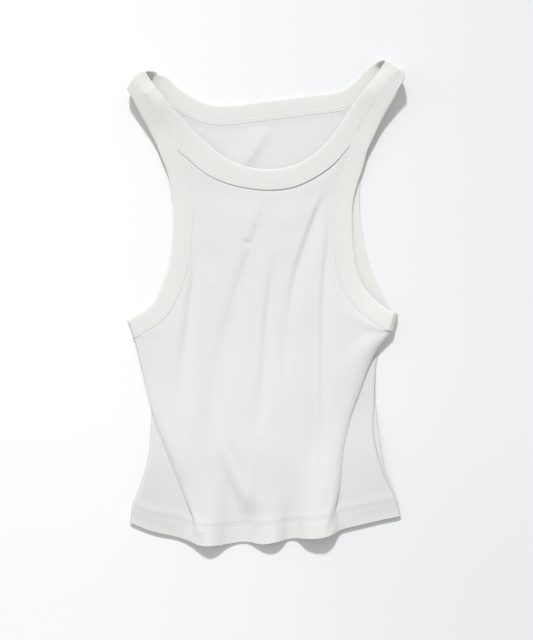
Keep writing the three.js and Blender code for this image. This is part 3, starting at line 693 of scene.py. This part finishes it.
def make_mesh(name, points, faces, corners, values=None):
    """A smooth mesh from points in mm, with the cloth coordinates of its faces' corners in m as
    the UV map, and named values at its points."""
    mesh = bpy.data.meshes.new(name)
    mesh.from_pydata((points * MM).tolist(), [], faces)
    layer = mesh.uv_layers.new(name="UVMap")
    layer.data.foreach_set("uv", (corners * MM).ravel())
    for key, value in (values or {}).items():
        attribute = mesh.attributes.new(key, "FLOAT", "POINT")
        attribute.data.foreach_set("value", np.asarray(value, float))
    obj = bpy.data.objects.new(name, mesh)
    bpy.context.scene.collection.objects.link(obj)
    select_only(obj)
    bpy.ops.object.shade_smooth()
    return obj


def thicken(obj, thickness, weights):
    """Gives a sheet its wall on the wrong side, thinner where its weights are lower."""
    group = obj.vertex_groups.new(name="layers")
    weights = np.round(weights, 2)
    for value in np.unique(weights):
        group.add(np.flatnonzero(weights == value).tolist(), float(value), "REPLACE")
    modifier = obj.modifiers.new("Wall", "SOLIDIFY")
    modifier.thickness = thickness * MM
    modifier.offset = -1
    modifier.vertex_group = group.name
    select_only(obj)
    bpy.ops.object.modifier_apply(modifier=modifier.name)
    obj.vertex_groups.clear()


def sheet_faces(rows, columns, start=0):
    faces = []
    for i in range(rows - 1):
        for j in range(columns - 1):
            a = start + i * columns + j
            faces.append((a, a + 1, a + columns + 1, a + columns))
    return faces


def cloth_across(grid, middle):
    """Place across the cloth along each row, seen square to the ribs; x at the middle column."""
    step = np.hypot(np.diff(grid[:, :, 0], axis=1), np.diff(grid[:, :, 2], axis=1))
    length = np.concatenate([np.zeros((len(grid), 1)), np.cumsum(step, axis=1)], axis=1)
    return length - length[:, middle][:, None] + grid[:, middle, 0][:, None]


def seam_distances(yoke):
    """Distance to the nearest binding, and to the one of the neck, between the armholes."""
    left, right, above = (np.linalg.norm(yoke - edge, axis=2)
                          for edge in (yoke[:, :1], yoke[:, -1:], yoke[-1:]))
    return np.minimum(np.minimum(left, right), above), above


def wing_ribs(across):
    """Lets the ribs of each wing follow its own edge; they meet the others under the fold."""
    place = np.full(across.shape[1], 11.0)
    place[:SIDE_STEPS + 1] = SIDE_PLACES
    for edge, place in ((0, place), (-1, place[::-1])):
        own = across - across[:, edge][:, None] + across[0, edge]
        on_wing = 1 - ease(place, 4, 7)
        across = mix(across, own, on_wing[None])
    return across


def soften_rows(body, yoke, steps):
    """Evens out the front's height where the body meets the part between the armholes."""
    first = SIDE_STEPS
    joined = np.concatenate([body[:, first:first + steps + 1], yoke[1:]])
    x, y, z = joined[..., 0], joined[..., 1], joined[..., 2]
    # heights are gathered on a grid of cells, blurred there and read back
    cell, margin, last_row, reach = 2.0, 40, 190, 28
    column = (x - x.min()) / cell + margin
    row = np.clip((y + 200) / cell, 0, last_row)
    area = np.abs(np.gradient(y, axis=0) * np.gradient(x, axis=1))
    sums = np.zeros((2, last_row + 2, int(column.max()) + margin + 2))
    i, j = row.astype(int), column.astype(int)
    s, t = row - i, column - j
    corners = [(0, 0, (1 - s) * (1 - t)), (0, 1, (1 - s) * t), (1, 0, s * (1 - t)), (1, 1, s * t)]
    for di, dj, share in corners:
        np.add.at(sums[0], (i + di, j + dj), area * share)
        np.add.at(sums[1], (i + di, j + dj), area * share * z)
    kernel = np.exp(-(np.arange(-36, 37) * cell / reach)**2)
    for axis in (1, 2):
        sums = np.apply_along_axis(np.convolve, axis, sums, kernel, mode="same")
    even = sums[1] / np.maximum(sums[0], 1e-9)
    smooth = sum(even[i + di, j + dj] * share for di, dj, share in corners)
    u = np.linspace(0, 1, steps + 1)[None]
    away = ease(u, 0, 0.15) * ease(1 - u, 0, 0.15)
    joined[..., 2] = mix(z, smooth, np.exp(-((y + 20) / 80)**4) * away)
    body[:, first:first + steps + 1] = joined[:len(body)]
    yoke[1:] = joined[len(body):]
    yoke[0] = body[-1, first:first + steps + 1]


def build_front(settings):
    lines = seam_lines()
    body, yoke, levels = front_grid(lines)
    steps = NECK_STEPS * FINER
    rows, columns = body.shape[:2]
    soften_rows(body, yoke, steps)
    add_creases(body, CREASES, settings.fold_depth, 1.0)
    # the cloth dips where it runs under the neck binding
    yoke[:, :, 2] -= 0.5 * (1 - ease(np.linalg.norm(yoke - yoke[-1:], axis=2), 0.3, 4))
    share = (np.arange(len(yoke)) / (len(yoke) - 1))[:, None]
    u = np.linspace(0, 1, steps + 1)[None]
    keep = ease(u, 0, 0.08) * ease(1 - u, 0, 0.08) * (1 - ease(share, 0.88, 1))
    add_creases(yoke, CREASES, settings.fold_depth, keep)
    body[-1, SIDE_STEPS:SIDE_STEPS + steps + 1] = yoke[0]
    # the hem is double, and its stitching draws the cloth in a little
    level = levels[:, None]
    body[:, :, 2] += 0.25 * (1 - ease(np.abs(level - HEM_DEPTH - 5.5), 1, 6))
    for row in HEM_STITCH_ROWS:
        away = (level - HEM_DEPTH + row) / HEM_STITCH_REACH
        body[:, :, 2] -= HEM_STITCH_DENT * np.exp(-away**2)
    # the side seams close onto the back panel
    for order in (1, -1):
        edge = body[:, ::order][:, :12]
        near = np.hypot(edge[:, :, 0] - edge[:, :1, 0], edge[:, :, 2] - edge[:, :1, 2])
        edge[:, :, 2] -= 1.1 * (1 - ease(near, 0, 2.4))
    u_body = wing_ribs(cloth_across(body, SIDE_STEPS + steps // 2))
    u_yoke = cloth_across(yoke, steps // 2)
    v_body = np.repeat(levels[:, None], columns, axis=1)
    v_yoke = FRONT_LENGTH + np.abs(yoke[:, :, 1] - yoke[:1, :, 1])
    points = np.vstack([body.reshape(-1, 3), yoke[1:].reshape(-1, 3)])
    uv = np.vstack([
        np.column_stack([u_body.ravel(), v_body.ravel()]),
        np.column_stack([u_yoke[1:].ravel(), v_yoke[1:].ravel()]),
    ])
    near_yoke = seam_distances(yoke)[0]
    near_body = np.full(body.shape[:2], NO_SEAM_NEAR)
    near_body[-1, SIDE_STEPS:SIDE_STEPS + steps + 1] = near_yoke[0]
    near_body[-1, :SIDE_STEPS] = 0
    near_body[-1, -SIDE_STEPS:] = 0
    near_body[-2] = np.minimum(near_body[-2], 2.4)
    gap = np.concatenate([near_body.ravel(), near_yoke[1:].ravel()])
    faces = sheet_faces(rows, columns)
    first = (rows - 1) * columns + SIDE_STEPS
    second = rows * columns
    for j in range(steps):
        faces.append((first + j, first + j + 1, second + j + 1, second + j))
    faces += sheet_faces(len(yoke) - 1, steps + 1, start=second)
    # the sides are painted darker: a share of painted shade at each point
    side = 1 - ease(SIDE_PLACES, 4, 7.5)
    side_shade = np.concatenate([side, np.zeros(columns - 2 * len(side)), side[::-1]])
    side_shade = np.append(np.tile(side_shade, rows), np.zeros(len(gap) - rows * columns))
    values = {"seam_distance": gap * MM, "side_shade": side_shade}
    obj = make_mesh("front_cloth", points, faces, uv[np.array(faces).ravel()], values)
    walls = np.concatenate([
        np.repeat(mix(1.0, FRONT_WALL_SHARE, ease(levels, HEM_DEPTH + 1, HEM_DEPTH + 3)), columns),
        np.full((len(yoke) - 1) * (steps + 1), FRONT_WALL_SHARE),
    ])
    thicken(obj, FOLDED, walls)
    return obj


def build_back(settings):
    lines = seam_lines()
    steps = BACK_NECK_STEPS * FINER
    u = np.linspace(0, 1, steps + 1)
    across = 2 * u - 1
    hem = BACK_HEM_MIDDLE + BACK_HEM_RISE * across**2 + BACK_HEM_TILT * across
    top = mix(ARMPITS["left"]["tip"][1], ARMPITS["right"]["tip"][1], u)
    levels = np.concatenate([np.linspace(0, 24, 13), np.linspace(28, 195, 40)])
    body = []
    for level in levels:
        y = mix(hem, top, level / BACK_LENGTH)
        x = mix(read(BACK_EDGE["left"], y), read(BACK_EDGE["right"], y), u)
        body.append(np.column_stack([x, y, np.full_like(x, WALL)]))
    yoke = yoke_rows(lines["back_left"], lines["back_right"], lines["neck_back"], WALL - FLAT)
    grid = np.vstack([np.array(body), yoke])
    rows, columns = grid.shape[:2]
    flat = np.concatenate([levels, BACK_LENGTH + np.arange(len(yoke)) * 2.0])
    v = np.repeat(flat[:, None], columns, axis=1)
    v[len(levels):] = BACK_LENGTH + np.abs(yoke[:, :, 1] - yoke[:1, :, 1])
    u_cloth = cloth_across(grid, steps // 2)
    near_yoke, above = seam_distances(yoke)
    near = np.full(grid.shape[:2], NO_SEAM_NEAR)
    near[len(levels):] = near_yoke
    # the hem is double, and the sides rise with the front's
    grid[:, :, 2] += (FOLDED - WALL) * (1 - ease(flat, HEM_DEPTH - 1, HEM_DEPTH + 2))[:, None]
    lift = side_lift(flat * FRONT_LENGTH / BACK_LENGTH)[:, None]
    grid[:, :, 2] += 0.8 * lift * ease(np.abs(across), 0.8, 1)
    # the cloth rises to the seam of the neck binding
    above_all = np.full(grid.shape[:2], NO_SEAM_NEAR)
    above_all[len(levels):] = above
    grid[:, :, 2] += 0.55 * (1 - ease(above_all, 0, 7))
    inside = ease(near, 1, 12) * (grid[:, :, 1] > 100)
    grid[:, :, 2] += inside * crease_height(grid[:, :, 0], grid[:, :, 1], BACK_CREASES)
    uv = np.column_stack([u_cloth.ravel(), v.ravel()])
    # its sides get the same painted shade
    side_shade = (1 - ease(flat, 120, 180))[:, None] * ease(np.abs(across), 0.5, 0.6)
    values = {"seam_distance": near.ravel() * MM, "side_shade": side_shade.ravel()}
    faces = sheet_faces(rows, columns)
    corners = uv[np.array(faces).ravel()]
    obj = make_mesh("back_cloth", grid.reshape(-1, 3), faces, corners, values)
    walls = np.repeat(mix(1.0, WALL / FOLDED, ease(flat, HEM_DEPTH - 1, HEM_DEPTH + 2)), columns)
    thicken(obj, FOLDED, walls)
    return obj


# A binding's section on its right side: share of the way across, or mm from the seam
# (negative: mm from the folded edge), and height as a share of half its thickness
SECTION = [
    (0.0, 0.78), (0.4, 0.8), (0.9, 0.82), (1.6, 0.84), (2.6, 0.84), (3.8, 0.94), (5.0, 0.95),
    (6.2, 0.88), (7.6, 0.99), (-5.6, 1.05), (-4.4, 1.05), (-3.2, 1.02), (-2.2, 0.96),
    (-1.3, 0.84), (-0.6, 0.66), (-0.2, 0.42), (0.0, 0.0),
]


def build_binding(name, ring, outside, joint=None):
    """A folded strip with a rounded edge, swept round a ring of stations.

    Its ends are lapped and sewn at the station nearest to the joint.
    """
    half = FOLDED / 2
    count = len(ring)
    along = np.roll(ring[:, :3], -1, axis=0) - np.roll(ring[:, :3], 1, axis=0)
    length = np.append(0, np.cumsum(np.linalg.norm(np.diff(ring[:, :3], axis=0), axis=1)))
    total = length[-1] + np.linalg.norm(ring[0, :3] - ring[-1, :3])
    up = np.cross(along, ring[:, 3:6])
    up *= outside / np.linalg.norm(up, axis=1)[:, None]
    width = ring[:, 6]
    last = len(SECTION) - 1
    section = []
    for k, (place, rise) in enumerate(SECTION):
        at_edge = place < 0 or k == last
        section.append((width + place if at_edge else np.full(count, place), rise * half))
    for k in range(last - 1, -1, -1):
        place, rise = SECTION[k]
        section.append((section[k][0], -min(rise, 0.98) * half))
    lap = np.zeros(count)
    if joint is not None:
        nearest = np.argmin(np.linalg.norm(ring[:, :3] - joint, axis=1))
        past = length - length[nearest]
        lap = LAP_RISE * (1 - ease(np.abs(past - 2), 2, 4.4))
    points, uv = [], []
    for across, rise in section:
        lifted = rise + lap if rise > 0 else np.full(count, rise)
        points.append(ring[:, :3] + ring[:, 3:6] * across[:, None] + up * lifted[:, None])
        uv.append(np.column_stack([length, across]))
    size = len(section)
    points = np.stack(points, axis=1)
    uv = np.stack(uv, axis=1)
    round_crests(points)
    # one more row of cloth coordinates closes the ring
    faces, corners = [], []
    end = uv[0].copy()
    end[:, 0] = total
    uv_rows = np.concatenate([uv, end[None]])
    for i in range(count):
        for k in range(size):
            after = (k + 1) % size
            face = [(i, k), (i + 1, k), (i + 1, after), (i, after)]
            if outside < 0:
                face = face[::-1]
            faces.append([(r % count) * size + s for r, s in face])
            corners += [uv_rows[r, s] for r, s in face]
    return make_mesh(name, points.reshape(-1, 3), faces, np.array(corners))


class Shader:
    """Short ways to add and join a material's nodes."""

    def __init__(self, name):
        self.material = bpy.data.materials.new(name)
        self.material.use_nodes = True
        self.tree = self.material.node_tree
        self.surface = self.tree.nodes["Principled BSDF"]

    def node(self, kind, **values):
        made = self.tree.nodes.new(kind)
        for key, value in values.items():
            setattr(made, key, value)
        return made

    def join(self, start, end):
        self.tree.links.new(start, end)

    def math(self, operation, *inputs):
        made = self.node("ShaderNodeMath", operation=operation)
        for slot, value in enumerate(inputs):
            if isinstance(value, (int, float)):
                made.inputs[slot].default_value = value
            else:
                self.join(value, made.inputs[slot])
        return made.outputs[0]

    def blend(self, factor, dark, light):
        made = self.node("ShaderNodeMix", data_type="RGBA")
        self.join(factor, made.inputs["Factor"])
        for socket, value in (("A", dark), ("B", light)):
            target = [s for s in made.inputs if s.name == socket and s.type == "RGBA"][0]
            if hasattr(value, "is_output"):
                self.join(value, target)
            else:
                target.default_value = (*value, 1)
        return [s for s in made.outputs if s.type == "RGBA"][0]


STITCH_ROWS = (2.6, 6.2)  # rows of stitches on a binding, mm from its seam
STITCH_PITCH = 0.0027
STITCH_DEPTH = 0.0002
STITCH_REACH = 0.0007
LOOP_PITCH = 0.0014
LOOP_HEIGHT = 0.00004
FUZZ_HEIGHT = 0.00012
SEAM_REACH = 0.0016
SEAM_DEPTH = 0.0002


def knit_material(name, color, groove_shade, pitch, rib_height, stitched, has_seam_dip_and_shade):
    """Rib knit: rounded ribs with narrow grooves between them, and small loops along each rib.

    A binding is stitched, with its stitch holes painted darker as shade; a panel sinks a little where it
    runs under a binding, and is painted darker there as shade.
    """
    s = Shader(name)
    split = s.node("ShaderNodeSeparateXYZ")
    s.join(s.node("ShaderNodeUVMap", uv_map="UVMap").outputs[0], split.inputs[0])
    across, along = split.outputs[0], split.outputs[1]
    turn = s.math("MULTIPLY", across, math.pi / pitch)
    rib = s.math("ABSOLUTE", s.math("COSINE", turn))
    rib = s.math("POWER", rib, 0.75)
    loops = s.math("SINE", s.math("MULTIPLY", along, 2 * math.pi / LOOP_PITCH))
    loops = s.math("MULTIPLY", loops, s.math("MULTIPLY", rib, LOOP_HEIGHT))
    noise = s.node("ShaderNodeTexNoise")
    noise.inputs["Scale"].default_value = 900
    noise.inputs["Detail"].default_value = 2
    s.join(s.node("ShaderNodeTexCoord").outputs["Object"], noise.inputs["Vector"])
    fuzz = s.math("MULTIPLY", noise.outputs[0], FUZZ_HEIGHT)
    height = s.math("ADD", s.math("MULTIPLY", rib, rib_height), s.math("ADD", loops, fuzz))
    # at the sides of the panels the cloth is painted darker all over, with wider and darker grooves:
    # painted shade
    opened = s.node("ShaderNodeAttribute", attribute_name="side_shade").outputs["Fac"]
    start = s.math("ADD", 0.15, s.math("MULTIPLY", opened, 0.06))
    tone = s.math("MULTIPLY", s.math("SUBTRACT", rib, start), 1.5)
    tone = s.math("MINIMUM", s.math("MAXIMUM", tone, 0), 1)
    deep = s.blend(opened, groove_shade, tuple(0.9 * c for c in groove_shade))
    top = s.blend(opened, color, tuple(0.955 * c for c in color))
    # the grooves get a darker colour than the tops of the ribs: painted shade between the ribs
    shade = s.blend(tone, deep, top)
    if stitched:
        step = s.math("SINE", s.math("MULTIPLY", across, 2 * math.pi / STITCH_PITCH))
        hole = s.math("POWER", s.math("MULTIPLY", s.math("ADD", step, 1), 0.5), 3)
        for place in STITCH_ROWS:
            away = s.math("ABSOLUTE", s.math("SUBTRACT", along, place * MM))
            row = s.math("SUBTRACT", 1, s.math("MINIMUM", s.math("MULTIPLY", away, 1 / STITCH_REACH), 1))
            dent = s.math("MULTIPLY", row, hole)
            height = s.math("SUBTRACT", height, s.math("MULTIPLY", dent, STITCH_DEPTH))
            # the stitch holes are painted darker: painted shade in the dents
            shade = s.blend(s.math("MULTIPLY", dent, 0.28), shade, tuple(c * 0.6 for c in color))
    if has_seam_dip_and_shade:
        gap = s.node("ShaderNodeAttribute", attribute_name="seam_distance")
        far = s.math("MINIMUM", s.math("MULTIPLY", gap.outputs["Fac"], 1 / SEAM_REACH), 1)
        sunk = s.math("MULTIPLY", s.math("SUBTRACT", far, 1), SEAM_DEPTH)
        height = s.math("ADD", height, sunk)
        # near the seam the panel is painted darker: painted shade where it runs under the binding
        shade = s.blend(far, tuple(c * 0.94 for c in color), shade)
    bump = s.node("ShaderNodeBump")
    bump.inputs["Distance"].default_value = 1
    bump.inputs["Strength"].default_value = 1
    s.join(height, bump.inputs["Height"])
    s.join(bump.outputs[0], s.surface.inputs["Normal"])
    s.join(shade, s.surface.inputs["Base Color"])
    s.surface.inputs["Roughness"].default_value = 0.92
    s.surface.inputs["Specular IOR Level"].default_value = 0.25
    s.surface.inputs["Sheen Weight"].default_value = 0.08
    s.surface.inputs["Sheen Roughness"].default_value = 0.6
    return s.material


VIEW_HEIGHT = 0.704  # height of the surface that the photograph shows
# The floor is painted darker towards the right: painted shade where the light falls off.
FLOOR_PAINTED_FALL_OFF = (0.857, 0.867, 0.886)  # the floor's colour at the right, as a share


def color_prop(name, description, default):
    return bpy.props.FloatVectorProperty(name=name, description=description, subtype="COLOR",
                                         size=3, min=0, max=1, default=default)


class ClothSettings(bpy.types.PropertyGroup):
    fold_depth: bpy.props.FloatProperty(
        name="Fold depth", description="Scale of the creases on the front", default=1.2)
    rib_pitch: bpy.props.FloatProperty(
        name="Rib pitch", description="Distance between the panels' ribs", default=0.0032,
        unit="LENGTH", precision=5)
    binding_pitch: bpy.props.FloatProperty(
        name="Binding rib pitch", description="Distance between the bindings' ribs",
        default=0.0027, unit="LENGTH", precision=5)
    rib_height: bpy.props.FloatProperty(
        name="Rib height", description="Height of a rib over its groove", default=0.00015,
        unit="LENGTH", precision=5)
    cloth_color: color_prop("Cloth", "Colour of the panels", (0.768, 0.768, 0.754))
    # the grooves' colour is darker than the cloth's: painted shade between the ribs
    groove_shade_color: color_prop("Grooves", "Colour between the panels' ribs", (0.748, 0.748, 0.734))
    binding_color: color_prop("Binding", "Colour of the bindings", (0.787, 0.789, 0.76))


class StageSettings(bpy.types.PropertyGroup):
    floor_color: color_prop("Floor", "Colour of the surface it lies on", (0.945, 0.945, 0.945))
    key_power: bpy.props.FloatProperty(
        name="Key light", description="Strength of the light from above the straps", default=2.28)
    side_power: bpy.props.FloatProperty(
        name="Side light", description="Strength of the soft light from the left", default=0.15)
    fill_power: bpy.props.FloatProperty(
        name="Fill light", description="Strength of the light from all round", default=0.53)
    camera_height: bpy.props.FloatProperty(
        name="Camera height", description="Height of the camera over the surface", default=4.0,
        unit="LENGTH")


def finish_piece(obj, material, slot, *nodes):
    obj.data.materials.clear()
    obj.data.materials.append(material)
    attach(obj, "root")
    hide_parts(*nodes)
    return obj


def panel_material(settings):
    found = bpy.data.materials.get("rib_knit_panels")
    return found or knit_material("rib_knit_panels", tuple(settings.cloth_color),
                                  tuple(settings.groove_shade_color), settings.rib_pitch,
                                  settings.rib_height, False, True)


def binding_material(settings):
    found = bpy.data.materials.get("rib_knit_bindings")
    # the bindings' grooves are painted a little darker than their ribs: painted shade
    return found or knit_material("rib_knit_bindings", tuple(settings.binding_color),
                                  tuple(0.96 * c for c in settings.binding_color),
                                  settings.binding_pitch, settings.rib_height * 0.67, True, False)


class TANKTOP_OT_front_panel(bpy.types.Operator):
    """Makes the front panel, with its rolled sides, folds and hem"""

    bl_idname = "tanktop.front_panel"
    bl_label = "Front panel"

    def execute(self, context):
        settings = context.scene.tanktop_cloth
        obj = build_front(settings)
        finish_piece(obj, panel_material(settings), "rib_cloth", "front_panel")
        return {"FINISHED"}


class TANKTOP_OT_back_panel(bpy.types.Operator):
    """Makes the back panel, flat on the surface"""

    bl_idname = "tanktop.back_panel"
    bl_label = "Back panel"

    def execute(self, context):
        settings = context.scene.tanktop_cloth
        obj = build_back(settings)
        finish_piece(obj, panel_material(settings), "rib_cloth", "back_panel")
        return {"FINISHED"}


class TANKTOP_OT_neck_binding(bpy.types.Operator):
    """Makes the neck binding, round the neck and over both shoulders"""

    bl_idname = "tanktop.neck_binding"
    bl_label = "Neck binding"

    def execute(self, context):
        settings = context.scene.tanktop_cloth
        obj = build_binding("neck_band", seam_lines()["neck"], 1, NECK_JOINT)
        finish_piece(obj, binding_material(settings), "binding_cloth", "neck_binding")
        return {"FINISHED"}


class TANKTOP_OT_armhole_bindings(bpy.types.Operator):
    """Makes both armhole bindings"""

    bl_idname = "tanktop.armhole_bindings"
    bl_label = "Armhole bindings"

    def execute(self, context):
        settings = context.scene.tanktop_cloth
        lines = seam_lines()
        for side, outside in (("left", -1), ("right", 1)):
            obj = build_binding("armhole_band_" + side, lines["armhole_" + side], outside)
            finish_piece(obj, binding_material(settings), "binding_cloth",
                         "armhole_binding_" + side)
        return {"FINISHED"}


class TANKTOP_OT_stage(bpy.types.Operator):
    """Lays the pale floor, and sets the lights and the camera"""

    bl_idname = "tanktop.stage"
    bl_label = "Stage"

    def execute(self, context):
        settings = context.scene.tanktop_stage
        bpy.ops.object.select_all(action="DESELECT")
        bpy.ops.mesh.primitive_plane_add(size=8, location=(0, 0, -0.0001))
        floor = context.object
        floor.name = "floor"
        bpy.ops.object.transform_apply(location=True, rotation=True, scale=True)
        s = Shader("pale_floor")
        split = s.node("ShaderNodeSeparateXYZ")
        s.join(s.node("ShaderNodeTexCoord").outputs["Object"], split.inputs[0])
        # the floor is painted darker towards the right, and slightly towards the bottom: painted shade
        # where the light falls off
        ramp = s.node("ShaderNodeMapRange", interpolation_type="SMOOTHSTEP")
        ramp.inputs["From Min"].default_value = -0.25
        ramp.inputs["From Max"].default_value = 0.32
        s.join(split.outputs[0], ramp.inputs["Value"])
        light = tuple(settings.floor_color)
        far = tuple(c * k for c, k in zip(light, FLOOR_PAINTED_FALL_OFF))
        shade = s.blend(ramp.outputs[0], light, far)
        down = s.node("ShaderNodeMapRange", interpolation_type="SMOOTHSTEP")
        down.inputs["From Min"].default_value = -0.05
        down.inputs["From Max"].default_value = -0.36
        down.inputs["To Max"].default_value = 0.045
        s.join(split.outputs[1], down.inputs["Value"])
        shade = s.blend(down.outputs[0], shade, (0, 0, 0))
        s.join(shade, s.surface.inputs["Base Color"])
        s.surface.inputs["Roughness"].default_value = 0.95
        s.surface.inputs["Specular IOR Level"].default_value = 0.1
        floor.data.materials.append(s.material)

        bpy.ops.object.light_add(type="SUN", location=(-0.2, 1.2, 1.4))
        key = context.object
        key.name = "key_light"
        key.data.energy = settings.key_power
        key.data.angle = math.radians(5)
        key.rotation_euler = (math.radians(-45), math.radians(-7), 0)

        bpy.ops.object.light_add(type="SUN", location=(-1.4, 0.2, 1.2))
        side = context.object
        side.name = "side_light"
        side.data.energy = settings.side_power
        side.data.angle = math.radians(50)
        side.rotation_euler = (math.radians(-8), math.radians(-58), 0)

        world = bpy.data.worlds.new("studio")
        world.use_nodes = True
        background = world.node_tree.nodes["Background"]
        background.inputs["Color"].default_value = (1, 1, 1, 1)
        background.inputs["Strength"].default_value = settings.fill_power
        context.scene.world = world

        height = settings.camera_height
        bpy.ops.object.camera_add(location=(0.0009, -0.018, height), rotation=(0, 0, 0))
        camera = context.object
        camera.name = "camera"
        camera.data.sensor_fit = "VERTICAL"
        camera.data.sensor_height = 36
        camera.data.lens = camera.data.sensor_height * height / VIEW_HEIGHT
        camera.data.clip_end = 50
        context.scene.camera = camera
        context.scene.view_settings.view_transform = "Standard"
        context.scene.view_settings.look = "None"
        return {"FINISHED"}


class TANKTOP_PT_sidebar(bpy.types.Panel):
    bl_label = "Tank top"
    bl_idname = "TANKTOP_PT_sidebar"
    bl_space_type = "VIEW_3D"
    bl_region_type = "UI"
    bl_category = "Tank top"

    def draw(self, context):
        column = self.layout.column(align=True)
        for operator in OPERATORS:
            column.operator(operator.bl_idname)
        for settings in (context.scene.tanktop_cloth, context.scene.tanktop_stage):
            box = self.layout.box()
            for name in settings.__annotations__:
                box.prop(settings, name)


OPERATORS = [
    TANKTOP_OT_back_panel,
    TANKTOP_OT_front_panel,
    TANKTOP_OT_neck_binding,
    TANKTOP_OT_armhole_bindings,
    TANKTOP_OT_stage,
]
CLASSES = [ClothSettings, StageSettings, *OPERATORS, TANKTOP_PT_sidebar]


def register():
    for cls in CLASSES:
        bpy.utils.register_class(cls)
    bpy.types.Scene.tanktop_cloth = bpy.props.PointerProperty(type=ClothSettings)
    bpy.types.Scene.tanktop_stage = bpy.props.PointerProperty(type=StageSettings)


def unregister():
    del bpy.types.Scene.tanktop_cloth
    del bpy.types.Scene.tanktop_stage
    for cls in reversed(CLASSES):
        bpy.utils.unregister_class(cls)


def main():
    register()
    bpy.ops.tanktop.back_panel()
    bpy.ops.tanktop.front_panel()
    bpy.ops.tanktop.neck_binding()
    bpy.ops.tanktop.armhole_bindings()
    bpy.ops.tanktop.stage()


if __name__ == "__main__":
    main()
